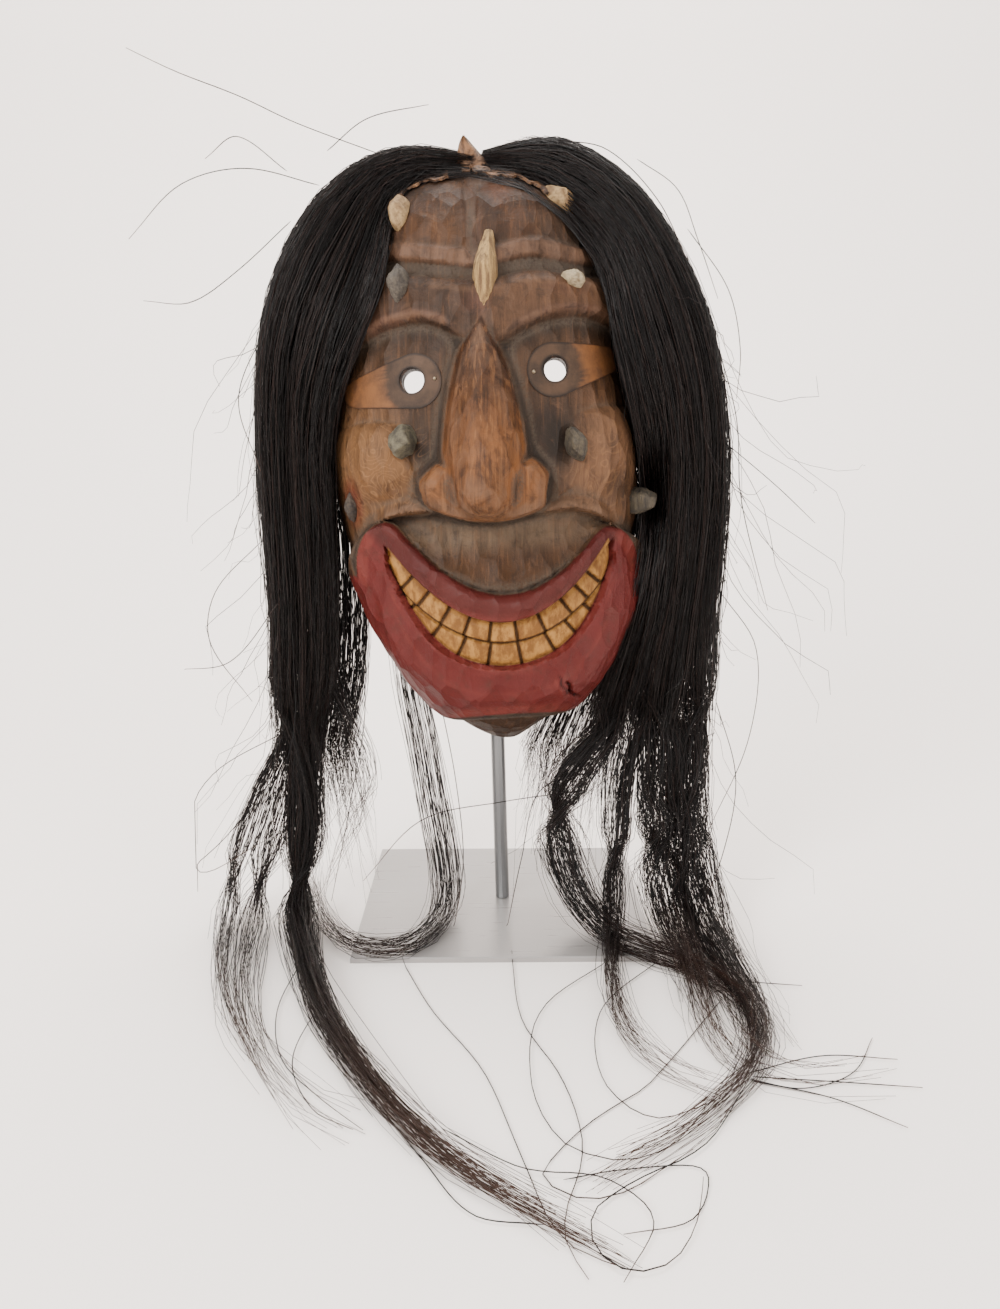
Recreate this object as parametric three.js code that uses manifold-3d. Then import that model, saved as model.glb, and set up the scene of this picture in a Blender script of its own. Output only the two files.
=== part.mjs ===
import * as THREE from 'three';
import { mergeVertices } from 'three/addons/utils/BufferGeometryUtils.js';
import Module from 'manifold-3d';

// A carved wooden giant mask with set stones and horsehair, upright on a rod and plate.
// Millimetres, +Z up, -Y towards the viewer, origin at the centre of the plate's underside.

const wasm = await Module();
wasm.setup();

// Gap kept between pieces that touch
const GAP = 0.3;

// Stand
const PLATE_SIDE = 160;
const PLATE_THICKNESS = 3;
const PLATE_BEVEL = 0.5;
const ROD_RADIUS = 4;
const ROD_LEAN_DEG = 1.3;
const ROD_LENGTH = 335;
const CROSSBAR_RADIUS = 3;
const CROSSBAR_HALF_LENGTH = 32;
const CROSSBAR_BELOW_TOP = 8;
const PAD_RADIUS = 5;
const PAD_THICKNESS = 2;

// Mask: its own frame has x to the viewer's right, z up its middle line, depth towards the viewer
const MASK_LOW = -4.5;
const MASK_TOP = 299;
const MASK_X = 4.6;
const MASK_Z = 107.9;
const MASK_ROLL_DEG = 3.44;
const RIM_BEHIND_ROD_AXIS = 7;
const DOME_DEPTH = 62;
const DOME_SQUARENESS = 2.6;
const RIM_WALL = 10;
const FACE_WALL = 15;
const MASK_COLUMNS = 22;
const MASK_ROWS = 31;
// Where the rows fall, as [share of all rows, height from -1 to 1]
const ROW_HEIGHTS = [[0, -1], [0.14, -0.72], [0.36, -0.28], [0.75, 0.4], [1, 1]];
// How far rows bend up at their ends over the mouth, so that they run along the lips
const ROW_BEND = 0.44;
const HOLLOW_COLUMNS = 10;
const HOLLOW_ROWS = 14;

// Half widths of the mask beside its middle line, as [share of half height, width of the full oval]
const LEFT_WIDTHS = [
  [-1, 58], [-0.95, 62], [-0.88, 66.5], [-0.74, 73.5], [-0.55, 77.5], [-0.4, 79.5],
  [-0.2, 84], [0, 86], [0.25, 84.5], [0.5, 86], [0.75, 94], [1, 103],
];
const RIGHT_WIDTHS = [
  [-1, 38], [-0.94, 45], [-0.87, 62], [-0.78, 72.5], [-0.6, 79], [-0.45, 79],
  [-0.3, 77], [-0.15, 79], [0.2, 75.8], [0.36, 75.5], [0.55, 81.5], [0.75, 87], [1, 84],
];

// Eyes
const LEFT_EYE = { x: -36, z: 192 };
const RIGHT_EYE = { x: 34, z: 193 };
const EYE_HOLE_RADIUS = 6.6;
const EYE_PLATE_THICKNESS = 1;
const EYE_PLATE_SUNK = 0.5;
const EYE_BED_CLEARS = 8;
const EYE_PLATE_LIP = 0.4;
const EYE_PLATE_RADIUS = 13.2;
const EYE_PLATE_TIP_RADIUS = 3.5;
const EYE_NAIL_RADIUS = 1.1;
const EYE_NAIL_HEAD = 0.7;

// Nose
const NOSE_X = -3;
const NOSE_TOP = 219.5;
const NOSE_BOTTOM = 121.3;
const NOSE_TURN = 145;
const NOSE_RISE = 34;
const WING_RISE = 12;
const WING_LENGTH = 12;
// Sides of the nose, as [height, x of the left side, x of the right side]
const NOSE_SIDES = [
  [120, -19, 12], [138.5, -24, 15.5], [150, -26.5, 19.9], [162, -25.5, 19.8],
  [180, -22.5, 17.5], [203, -15.5, 11.5], [213, -9, 6.5], [219.5, -0.6, 0],
];

// Mouth
const MOUTH_X = 2;
const LIP_TOP = 84.5;
const TEETH_TOP = 71;
const TEETH_MIDDLE = 60;
const TEETH_BOTTOM = 47.5;
const CHIN_LINE = 20.5;
const TEETH_REACH = 57;
const LIP_RISE = 6.5;
const LOWER_LIP_RISE = 9;
const TEETH_RISE = 1.2;
const MIDDLE_GROOVE = 1.6;
const TOOTH_SLOT_WIDTH = 1.3;
const TOOTH_SLOT_DEPTH = 2.2;
const UPPER_SLOTS = [-46.8, -38.7, -28, -17.6, -6.1, 7, 19.9, 32.7, 40.9, 47.7];
const LOWER_SLOTS = [-44.8, -33.4, -20.9, -7.2, 8.1, 23.6, 34.5, 43.9];

// Rawhide that ties the hair along the top edge
const RAWHIDE_THICKNESS = 2.4;
const RAWHIDE_CLEARANCE = 2.3;
const FLAP_HEIGHT = 15;
const FLAP_HALF_WIDTH = 11;
const STRIP_OUTER = 0.994;
const STRIP_INNER = 0.95;

// Hair
const HAIR_CUT = 100;
const HAIR_CLEARANCE = 10;

const rad = THREE.MathUtils.degToRad;
const MASK_MIDDLE = (MASK_LOW + MASK_TOP) / 2;
const MASK_HALF = (MASK_TOP - MASK_LOW) / 2;
const RIM_Y = -RIM_BEHIND_ROD_AXIS;

// Plain helpers

function ramp(from, to, value) {
  const share = THREE.MathUtils.clamp((value - from) / (to - from), 0, 1);
  return share * share * (3 - 2 * share);
}

function hump(across, along = 0) {
  const square = across * across + along * along;
  return square < 1 ? (1 - square) ** 2 : 0;
}

// Smooth curve through rising [place, value] pairs
function through(pairs, place) {
  let k = 0;
  while (k < pairs.length - 2 && place > pairs[k + 1][0]) k += 1;
  const [x0, y0] = pairs[k];
  const [x1, y1] = pairs[k + 1];
  const before = pairs[Math.max(k - 1, 0)];
  const after = pairs[Math.min(k + 2, pairs.length - 1)];
  const span = x1 - x0;
  const slope0 = ((y1 - before[1]) / (x1 - before[0])) * span;
  const slope1 = ((after[1] - y0) / (after[0] - x0)) * span;
  const t = THREE.MathUtils.clamp((place - x0) / span, 0, 1);
  const t2 = t * t;
  const t3 = t2 * t;
  return (2 * t3 - 3 * t2 + 1) * y0 + (t3 - 2 * t2 + t) * slope0
    + (3 * t2 - 2 * t3) * y1 + (t3 - t2) * slope1;
}

// The lower of two values with a rounded meeting
function softLower(a, b, round) {
  const share = THREE.MathUtils.clamp(0.5 + (b - a) / (2 * round), 0, 1);
  return b + (a - b) * share - round * share * (1 - share);
}

function bodyOf(positions, triangles) {
  const mesh = new wasm.Mesh({
    numProp: 3,
    vertProperties: new Float32Array(positions),
    triVerts: new Uint32Array(triangles),
  });
  return new wasm.Manifold(mesh);
}

function bodyOfGeometry(geometry) {
  const bare = geometry.clone();
  bare.deleteAttribute('normal');
  bare.deleteAttribute('uv');
  const merged = mergeVertices(bare, 1e-4);
  return bodyOf(merged.attributes.position.array, merged.index.array);
}

function geometryOf(body) {
  const mesh = body.getMesh();
  const geometry = new THREE.BufferGeometry();
  geometry.setAttribute('position', new THREE.BufferAttribute(mesh.vertProperties, 3));
  geometry.setIndex(new THREE.BufferAttribute(mesh.triVerts, 1));
  geometry.computeVertexNormals();
  return geometry;
}

function signedVolume(positions, triangles) {
  const corner = (k) => new THREE.Vector3().fromArray(positions, triangles[k] * 3);
  let sum = 0;
  for (let k = 0; k < triangles.length; k += 3) {
    sum += corner(k).dot(corner(k + 1).cross(corner(k + 2))) / 6;
  }
  return sum;
}

// Closed loft through rings of equal point counts, ends closed by a middle point
function loft(rings) {
  const count = rings[0].length;
  const positions = [];
  const triangles = [];
  for (const ring of rings) {
    for (const point of ring) positions.push(point.x, point.y, point.z);
  }
  for (let r = 0; r + 1 < rings.length; r += 1) {
    for (let s = 0; s < count; s += 1) {
      const next = (s + 1) % count;
      const a = r * count + s;
      const b = r * count + next;
      triangles.push(a, b, b + count, a, b + count, a + count);
    }
  }
  [0, rings.length - 1].forEach((r, end) => {
    const middle = new THREE.Vector3();
    for (const point of rings[r]) middle.addScaledVector(point, 1 / count);
    const centre = positions.length / 3;
    positions.push(middle.x, middle.y, middle.z);
    for (let s = 0; s < count; s += 1) {
      const a = r * count + s;
      const b = r * count + ((s + 1) % count);
      if (end === 0) triangles.push(centre, b, a);
      else triangles.push(centre, a, b);
    }
  });
  return bodyOf(positions, signedVolume(positions, triangles) < 0 ? triangles.reverse() : triangles);
}

// Mask surface

function widthAt(side, share) {
  return through(side < 0 ? LEFT_WIDTHS : RIGHT_WIDTHS, THREE.MathUtils.clamp(share, -1, 1));
}

function domeShare(radius) {
  const inside = Math.max(1 - Math.min(radius, 1) ** DOME_SQUARENESS, 0);
  return Math.sqrt(inside);
}

function browEdge(x) {
  if (x < -33) return 223 - 0.009 * (x + 33) ** 2;
  if (x < 0) return 223 - 0.0204 * (x + 33) ** 2 * (x < -8 ? 1 : 0.87);
  if (x < 45) return 222 - 0.0095 * (x - 45) ** 2;
  return 222 - 0.012 * (x - 45) ** 2;
}

function foreheadGroove(x) {
  return 241 + (x < -6 ? 0.18 * (-6 - x) : 3 * hump((x - 27) / 22));
}

function cheekFold(x) {
  if (x < 0) return 128 - 0.011 * (x + 38) ** 2 * (x < -38 ? 1 : 0.45);
  return 125 - (x > 36 ? 0.018 : 0.003) * (x - 36) ** 2;
}

function lipTopEdge(x) {
  const climb = 0.0125 * (x - 4.5) ** 2;
  const limit = x < 4.5 ? 39 : 29.5;
  const beyond = x < 0 ? Math.max(-56 - x, 0) : Math.max(x - 57, 0);
  const round = 28 * (1 - Math.sqrt(Math.max(1 - (beyond / 18) ** 2, 0)));
  return LIP_TOP + softLower(climb, limit, 6) - round;
}

function teethTopEdge(x) {
  return TEETH_TOP + 0.0125 * (x - MOUTH_X) ** 2;
}

function teethMiddle(x) {
  return TEETH_MIDDLE + 0.0103 * (x - MOUTH_X) ** 2;
}

function teethBottomEdge(x) {
  const away = x - MOUTH_X;
  return TEETH_BOTTOM + 0.0085 * away ** 2 + 2.4e-6 * away ** 4;
}

function chinEdge(x) {
  return CHIN_LINE - 0.0045 * x * x;
}

// How far outside the band of teeth a place is, less than zero inside it
function outsideTeeth(x, z) {
  const held = THREE.MathUtils.clamp(x, MOUTH_X - TEETH_REACH, MOUTH_X + TEETH_REACH - 2);
  const slant = 1 / Math.hypot(1, 0.022 * (held - MOUTH_X));
  const across = Math.max((z - teethTopEdge(held)) * slant, (teethBottomEdge(held) - z) * slant);
  const beyond = Math.abs(x - held);
  return beyond > 0 ? Math.hypot(Math.max(across, 0), beyond) : across;
}

function foreheadRise(x, z) {
  const groove = foreheadGroove(x);
  const lobes = 5 * (hump((x + 27) / 36, (z - 271) / 27) + hump((x - 26) / 34, (z - 269) / 27));
  const parting = 3 * hump((x + 2) / 4.5) * ramp(244, 252, z);
  const band = 2.5 * ramp(groove + 1, groove + 4, z) * ramp(groove + 13, groove + 9, z);
  const middle = 1 - hump((x - 1) / 11);
  return lobes - parting + band - 3 * hump((z - groove) / 5) * middle;
}

function browRise(x, z) {
  const groove = foreheadGroove(x);
  const edge = browEdge(x);
  const lobe = 6.5 * ramp(groove, groove - 10, z);
  const under = 14 * ramp(edge + 1, edge - 13, z);
  const below = 6 * ramp(184, 168, z);
  return lobe - under + below;
}

// Blade of the nose and the flange across its foot, in height over the plain dome
function noseRise(x, z) {
  const left = through(NOSE_SIDES.map((row) => [row[0], row[1]]), z);
  const right = through(NOSE_SIDES.map((row) => [row[0], row[2]]), z);
  const half = Math.max((right - left) / 2, 0.3);
  const away = Math.abs(x - (left + right) / 2);
  const bottom = NOSE_BOTTOM + 0.0085 * x * x;
  const down = THREE.MathUtils.clamp((NOSE_TOP - z) / (NOSE_TOP - NOSE_BOTTOM), 0, 1);
  const under = THREE.MathUtils.clamp((NOSE_TURN - z) / (NOSE_TURN - bottom), 0, 1);
  const section = (1 - Math.min(away / half, 1) ** 2) ** 0.62;
  const blade = (15 + NOSE_RISE * down ** 0.85) * section * (1 - under ** 2.6) ** 0.5 - 9;
  const beyond = THREE.MathUtils.clamp((away - 0.8 * half) / WING_LENGTH, 0, 1);
  const top = 151 - 0.8 * Math.max(away - half, 0);
  const wing = WING_RISE * (1 - beyond ** 2.5) ** 0.6 * ramp(top + 1, top - 5, z);
  const cut = ramp(bottom - 2.5, bottom + 2, z);
  return (Math.max(blade, wing, -9) + 9) * cut - 9;
}

function cheekRise(x, z) {
  const left = 8 * hump((x + 60) / 34, (z - 156) / 30) * (0.45 + 0.55 * ramp(132, 137, z));
  const right = 8 * hump((x - 60) / 32, (z - 156) / 32) * (0.6 + 0.4 * ramp(128, 136, z));
  const hollows = 6 * hump((x + 32) / 12, (z - 162) / 19) + 9 * hump((x - 31) / 13, (z - 160) / 21);
  return left + right - hollows;
}

function upperLipRise(x, z) {
  const fold = cheekFold(x);
  const edge = lipTopEdge(x);
  const ridge = 3 * ramp(fold + 9, fold + 1, z) * ramp(fold - 3, fold, z);
  const down = THREE.MathUtils.clamp((fold - z) / Math.max(fold - edge, 1), 0, 1);
  const scoop = 6.5 * Math.sin(Math.PI * down ** 0.55);
  const reach = ramp(66, 54, Math.abs(x));
  return (ridge - scoop) * reach;
}

// Height of the face without its mouth over the plain dome
function faceRise(x, z) {
  const muzzle = 7 * hump((x - MOUTH_X) / 92, (z - 50) / 74);
  const raised = foreheadRise(x, z) + browRise(x, z) + cheekRise(x, z) + upperLipRise(x, z);
  const side = 1 - 0.55 * ramp(58, 82, Math.abs(x));
  return Math.max(raised * side + muzzle, noseRise(x, z));
}

// Height of the lips: a rounded band that is lower at the teeth and at its outer edge
function lipRise(x, z) {
  const gap = outsideTeeth(x, z);
  const upper = z > teethMiddle(x) && Math.abs(x - MOUTH_X) < TEETH_REACH;
  if (upper) return LIP_RISE + 1.5 * hump((gap - 7) / 8);
  return LOWER_LIP_RISE * (0.62 + 0.38 * hump((gap - 16) / 16));
}

// Place on the mask's front for a share of its width and height inside the unit circle
function basePoint(a, b) {
  const depth = DOME_DEPTH * domeShare(Math.hypot(a, b));
  return new THREE.Vector3(a * widthAt(a, b), -depth, MASK_MIDDLE + MASK_HALF * b);
}

function outwardAt(a, b) {
  const shrink = Math.min(1, 0.998 / Math.max(Math.hypot(a, b), 1e-6));
  const step = 1e-3;
  const a0 = a * shrink;
  const b0 = b * shrink;
  const along = basePoint(a0 + step, b0).sub(basePoint(a0 - step, b0));
  const up = basePoint(a0, b0 + step).sub(basePoint(a0, b0 - step));
  return along.cross(up).normalize();
}

function facePoint(a, b, offset = 0, extra = () => 0) {
  const radius = Math.hypot(a, b);
  const point = basePoint(a, b);
  const outward = outwardAt(a, b);
  const forward = new THREE.Vector3(0, -1, 0);
  const way = forward.lerp(outward, ramp(0.45, 0.95, radius)).normalize();
  const height = faceRise(point.x, point.z) + extra(point.x, point.z);
  const fade = 1 - ramp(0.965, 1, radius);
  return point.addScaledVector(way, height * fade).addScaledVector(outward, offset);
}

// Place on the front over a place of the mask's own x and z
function faceOver(x, z, offset = 0) {
  const b = (z - MASK_MIDDLE) / MASK_HALF;
  return facePoint(x / widthAt(x, b), b, offset);
}

// Place in the unit circle for a column and a row from -1 to 1
function spreadOver(u, v) {
  const a = u * Math.sqrt(1 - (v * v) / 2);
  const b = v * Math.sqrt(1 - (u * u) / 2);
  const spread = 1 + 0.3 * (1 - Math.min(a * a + b * b, 1));
  const across = a * spread;
  const level = b * spread;
  const raised = level + ROW_BEND * across * across * ramp(-1, -0.85, level) * ramp(0.6, -0.45, level);
  const widening = Math.sqrt(Math.max(1 - raised * raised, 0) / Math.max(1 - level * level, 1e-9));
  return [across * widening, raised];
}

// Solid dome over a grid of round-stretched columns and rows, closed flat behind
function domeBody(columns, rows, pointAt) {
  const positions = [];
  const triangles = [];
  const edge = [];
  const at = (i, j) => j * (columns + 1) + i;
  for (let j = 0; j <= rows; j += 1) {
    for (let i = 0; i <= columns; i += 1) {
      const point = pointAt(...spreadOver(-1 + (2 * i) / columns, through(ROW_HEIGHTS, j / rows)));
      positions.push(point.x, point.y, point.z);
    }
  }
  for (let j = 0; j < rows; j += 1) {
    for (let i = 0; i < columns; i += 1) {
      const [p, q, r, s] = [at(i, j), at(i + 1, j), at(i + 1, j + 1), at(i, j + 1)];
      const leftLean = (i < columns / 2) === (j < rows / 2);
      if (leftLean) triangles.push(p, q, r, p, r, s);
      else triangles.push(p, q, s, q, r, s);
    }
  }
  for (let i = 0; i < columns; i += 1) edge.push(at(i, 0));
  for (let j = 0; j < rows; j += 1) edge.push(at(columns, j));
  for (let i = columns; i > 0; i -= 1) edge.push(at(i, rows));
  for (let j = rows; j > 0; j -= 1) edge.push(at(0, j));
  const centre = positions.length / 3;
  positions.push(0, positions[at(0, 0) * 3 + 1], MASK_MIDDLE);
  edge.forEach((first, k) => {
    triangles.push(centre, edge[(k + 1) % edge.length], first);
  });
  return bodyOf(positions, triangles);
}

// Hollow behind the face, its rim a little behind the wooden rim so that it cuts clean through
function hollowPoint(a, b) {
  const overshoot = 2;
  const share = domeShare(Math.hypot(a, b));
  const x = a * (widthAt(a, b) - RIM_WALL);
  const z = MASK_MIDDLE + (MASK_HALF - RIM_WALL) * b;
  const nose = 15 * hump((x - NOSE_X) / 17, (z - 158) / 52);
  const jaw = 5 * hump((x - MOUTH_X) / 60, (z - 50) / 50);
  const depth = (DOME_DEPTH - FACE_WALL + overshoot + nose + jaw) * share;
  return new THREE.Vector3(x, overshoot - depth, z);
}

function hollowDepthOver(x, z) {
  const b = (z - MASK_MIDDLE) / (MASK_HALF - RIM_WALL);
  const a = x / (widthAt(x, b) - RIM_WALL);
  return -hollowPoint(a, b).y;
}

// Straight bar from one point to another, with an even number of sides
function bar(from, to, radius, sides) {
  const length = from.distanceTo(to);
  const shape = new THREE.CylinderGeometry(radius, radius, length, sides);
  const turn = new THREE.Quaternion().setFromUnitVectors(
    new THREE.Vector3(0, 1, 0),
    to.clone().sub(from).normalize(),
  );
  shape.applyQuaternion(turn);
  shape.translate(...from.clone().lerp(to, 0.5).toArray());
  return bodyOfGeometry(shape);
}

// Stones

const STONES = [
  { name: 'stone_forehead_left', x: -38, z: 273, wide: 5.2, tall: 9.4, out: 9, lean: 8, taper: 0.25 },
  { name: 'stone_forehead_right', x: 41, z: 276, wide: 9, tall: 5.5, out: 8, lean: 32, taper: 0.3 },
  { name: 'stone_forehead_centre', x: 2.5, z: 242, wide: 6.4, tall: 21, out: 12, lean: -4, taper: 0.62 },
  { name: 'stone_brow_left', x: -41, z: 238, wide: 5.4, tall: 8.6, out: 8, lean: 6, taper: 0.5 },
  { name: 'stone_brow_right', x: 47, z: 235, wide: 6, tall: 3.8, out: 8, lean: 28, taper: 0.2 },
  { name: 'stone_cheek_left', x: -43, z: 163, wide: 6.6, tall: 8, out: 11, lean: 12, taper: 0.05 },
  { name: 'stone_cheek_right', x: 43, z: 156, wide: 5.2, tall: 8.6, out: 10, lean: 10, taper: 0.15 },
  { name: 'stone_jaw_left', x: -75, z: 133, wide: 3.4, tall: 7, out: 5, lean: 4, taper: 0.3 },
  { name: 'stone_jaw_right', x: 73, z: 127, wide: 5.6, tall: 7.4, out: 16, lean: 24, taper: 0.35 },
];
const STONE_SEGMENTS = 8;
const STONE_RINGS = 5;

// A broken pebble: an oval that narrows to its tips, with uneven flats
function stoneBody(stone, grow) {
  const shape = new THREE.SphereGeometry(1, STONE_SEGMENTS, STONE_RINGS);
  const place = shape.attributes.position;
  const seed = stone.x * 0.7 + stone.z * 0.31;
  for (let k = 0; k < place.count; k += 1) {
    const p = new THREE.Vector3().fromBufferAttribute(place, k);
    const rough = 1 + 0.07 * Math.sin(5.1 * p.x + seed) * Math.cos(4.3 * p.z - seed + 2.2 * p.y);
    const narrow = 1 - stone.taper * Math.abs(p.z) ** 1.4;
    const x = p.x * narrow * rough * stone.wide;
    const y = p.y * narrow * rough * stone.out;
    const z = p.z * rough * stone.tall;
    const length = Math.hypot(x, y, z);
    const more = (length + grow) / length;
    place.setXYZ(k, x * more, y * more, z * more);
  }
  const b = (stone.z - MASK_MIDDLE) / MASK_HALF;
  const a = stone.x / widthAt(stone.x, b);
  const outward = outwardAt(a, b).lerp(new THREE.Vector3(0, -1, 0), 0.35).normalize();
  const turn = new THREE.Quaternion().setFromUnitVectors(new THREE.Vector3(0, -1, 0), outward);
  shape.rotateY(rad(stone.lean));
  shape.applyQuaternion(turn);
  const foot = facePoint(a, b);
  shape.translate(...foot.toArray());
  return bodyOfGeometry(shape);
}

// Eye plates

// Outline of a round plate drawn out to a small round tip, anticlockwise from the front
function plateOutline(eye, tip, grow) {
  const far = Math.hypot(tip.x - eye.x, tip.z - eye.z);
  const towards = Math.atan2(tip.z - eye.z, tip.x - eye.x);
  const big = EYE_PLATE_RADIUS + grow;
  const small = EYE_PLATE_TIP_RADIUS + grow;
  const open = Math.acos((big - small) / far);
  const points = [];
  const roundSteps = 13;
  const tipSteps = 3;
  for (let k = 0; k <= roundSteps; k += 1) {
    const angle = towards + open + ((2 * Math.PI - 2 * open) * k) / roundSteps;
    points.push([eye.x + big * Math.cos(angle), eye.z + big * Math.sin(angle)]);
  }
  for (let k = 0; k <= tipSteps; k += 1) {
    const angle = towards - open + (2 * open * k) / tipSteps;
    points.push([tip.x + small * Math.cos(angle), tip.z + small * Math.sin(angle)]);
  }
  return points;
}

// Thin sheet that follows the face between two heights over it
function sheetOnFace(outline, low, high) {
  const rings = 1;
  const positions = [];
  const triangles = [];
  const count = outline.length;
  const middle = outline.reduce((sum, [x, z]) => [sum[0] + x / count, sum[1] + z / count], [0, 0]);
  for (const offset of [high, low]) {
    const centre = faceOver(middle[0], middle[1], offset);
    positions.push(centre.x, centre.y, centre.z);
    for (let r = 1; r <= rings; r += 1) {
      for (const [x, z] of outline) {
        const share = r / rings;
        const px = middle[0] + (x - middle[0]) * share;
        const pz = middle[1] + (z - middle[1]) * share;
        const point = faceOver(px, pz, offset);
        positions.push(point.x, point.y, point.z);
      }
    }
  }
  const layer = 1 + rings * count;
  for (let k = 0; k < count; k += 1) {
    const next = (k + 1) % count;
    triangles.push(0, 1 + k, 1 + next);
    triangles.push(layer, layer + 1 + next, layer + 1 + k);
    for (let r = 0; r + 1 < rings; r += 1) {
      const [p, q] = [1 + r * count + k, 1 + r * count + next];
      const [s, t] = [p + count, q + count];
      triangles.push(p, s, t, p, t, q);
      triangles.push(layer + p, layer + t, layer + s, layer + p, layer + q, layer + t);
    }
    const [p, q] = [1 + (rings - 1) * count + k, 1 + (rings - 1) * count + next];
    triangles.push(p, layer + p, layer + q, p, layer + q, q);
  }
  return bodyOf(positions, triangles);
}

const EYES = [
  { side: 'left', eye: LEFT_EYE, middle: { x: -34.5, z: 191.5 }, tip: { x: -66, z: 188 }, nail: { x: -24.5, z: 192 } },
  { side: 'right', eye: RIGHT_EYE, middle: { x: 33.5, z: 192.5 }, tip: { x: 62, z: 197 }, nail: { x: 23.5, z: 192 } },
];

function eyeHole(eye, radius) {
  const front = new THREE.Vector3(eye.x, -DOME_DEPTH - 20, eye.z);
  const back = new THREE.Vector3(eye.x, 0, eye.z);
  return bar(front, back, radius, 16);
}

function eyePlateBody({ middle, tip }, grow) {
  const low = -EYE_PLATE_SUNK - grow;
  const high = grow > 0 ? EYE_BED_CLEARS : EYE_PLATE_THICKNESS - EYE_PLATE_SUNK;
  return sheetOnFace(plateOutline(middle, tip, grow), low, high);
}

function eyeNailBody({ nail }, grow) {
  const b = (nail.z - MASK_MIDDLE) / MASK_HALF;
  const outward = outwardAt(nail.x / widthAt(nail.x, b), b);
  const top = EYE_PLATE_THICKNESS - EYE_PLATE_SUNK + EYE_NAIL_HEAD;
  const foot = faceOver(nail.x, nail.z, -2 - grow);
  const head = faceOver(nail.x, nail.z, -2).addScaledVector(outward, 2 + top + grow);
  return bar(foot, head, EYE_NAIL_RADIUS + grow, 8);
}

// Mouth

// Upright prism over an outline of [x, z] points, through the whole depth of the face
function prismOver(outline) {
  const shape = new THREE.Shape(outline.map(([x, z]) => new THREE.Vector2(x, z)));
  const prism = new THREE.ExtrudeGeometry(shape, { depth: DOME_DEPTH * 3, bevelEnabled: false });
  prism.rotateX(Math.PI / 2);
  return bodyOfGeometry(prism);
}

// Outline between a lower and an upper curve of x, going round once
function between(low, high, from, to, steps) {
  const places = Array.from({ length: steps + 1 }, (_, k) => from + ((to - from) * k) / steps);
  return [...places.map((x) => [x, low(x)]), ...places.reverse().map((x) => [x, high(x)])];
}

// Outward half of everything over the teeth's own surface
function overTeeth(outline, height) {
  const floor = domeBody(16, 18, (a, b) => facePoint(a, b, 0, () => height));
  return prismOver(outline).subtract(floor);
}

function lipsBody() {
  const edges = between(chinEdge, lipTopEdge, -73.8, 74.8, 30);
  return domeBody(18, 24, (a, b) => facePoint(a, b, 0, lipRise)).intersect(prismOver(edges));
}

function teethCuts() {
  const [from, to] = [MOUTH_X - TEETH_REACH, MOUTH_X + TEETH_REACH - 2];
  const band = between(teethBottomEdge, teethTopEdge, from, to, 16);
  const line = (shift) => (x) => teethMiddle(x) + shift;
  const groove = between(line(-MIDDLE_GROOVE / 2), line(MIDDLE_GROOVE / 2), from, to, 16);
  return overTeeth(band, TEETH_RISE).add(overTeeth(groove, TEETH_RISE - MIDDLE_GROOVE));
}

// Tooth gaps: thin cuts across each row

function toothSlot(x, low, high) {
  const slope = 0.022 * (x - MOUTH_X);
  const lean = new THREE.Vector3(-slope, 0, 1).normalize();
  const middleZ = (low(x) + high(x)) / 2;
  const half = ((high(x) - low(x)) / 2 - 0.6) / Math.hypot(1, slope);
  const surface = faceOver(x, middleZ, TEETH_RISE);
  const box = new THREE.BoxGeometry(TOOTH_SLOT_WIDTH, TOOTH_SLOT_DEPTH + 12, half * 2);
  box.rotateY(Math.atan2(lean.x, lean.z));
  box.translate(surface.x, surface.y + TOOTH_SLOT_DEPTH - (TOOTH_SLOT_DEPTH + 12) / 2, surface.z);
  return bodyOfGeometry(box);
}

// Rawhide strips along the top edge

const STRIPS = [
  { from: rad(97), to: rad(132) },
  { from: rad(93), to: rad(44) },
];
const STRIP_STEPS = 10;

function stripBody({ from, to }) {
  const low = RAWHIDE_CLEARANCE;
  const high = RAWHIDE_CLEARANCE + RAWHIDE_THICKNESS;
  const rings = [];
  for (let k = 0; k <= STRIP_STEPS; k += 1) {
    const angle = from + ((to - from) * k) / STRIP_STEPS;
    const corners = [[STRIP_OUTER, low], [STRIP_OUTER, high], [STRIP_INNER, high], [STRIP_INNER, low]];
    rings.push(corners.map(([radius, offset]) => (
      facePoint(radius * Math.cos(angle), radius * Math.sin(angle), offset)
    )));
  }
  return loft(rings);
}

function flapBody(grow) {
  const wide = FLAP_HALF_WIDTH + grow;
  const foot = MASK_TOP + RAWHIDE_CLEARANCE - grow;
  const shape = new THREE.Shape();
  shape.moveTo(-wide + 1, foot);
  shape.lineTo(wide + 2, foot);
  shape.lineTo(wide + 1, MASK_TOP + 3 + grow);
  shape.lineTo(-2, MASK_TOP + FLAP_HEIGHT + grow);
  shape.lineTo(-wide, MASK_TOP + 2 + grow);
  const flap = new THREE.ExtrudeGeometry(shape, {
    depth: RAWHIDE_THICKNESS + 2 * grow,
    bevelEnabled: false,
  });
  flap.rotateX(Math.PI / 2);
  flap.translate(0, -9 + grow, 0);
  return bodyOfGeometry(flap);
}

// Hair: each mass is a loft of level ovals, each lock a tapering tube along a curve

const HAIR_SIDES = 10;
const LOCK_SIDES = 5;

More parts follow.
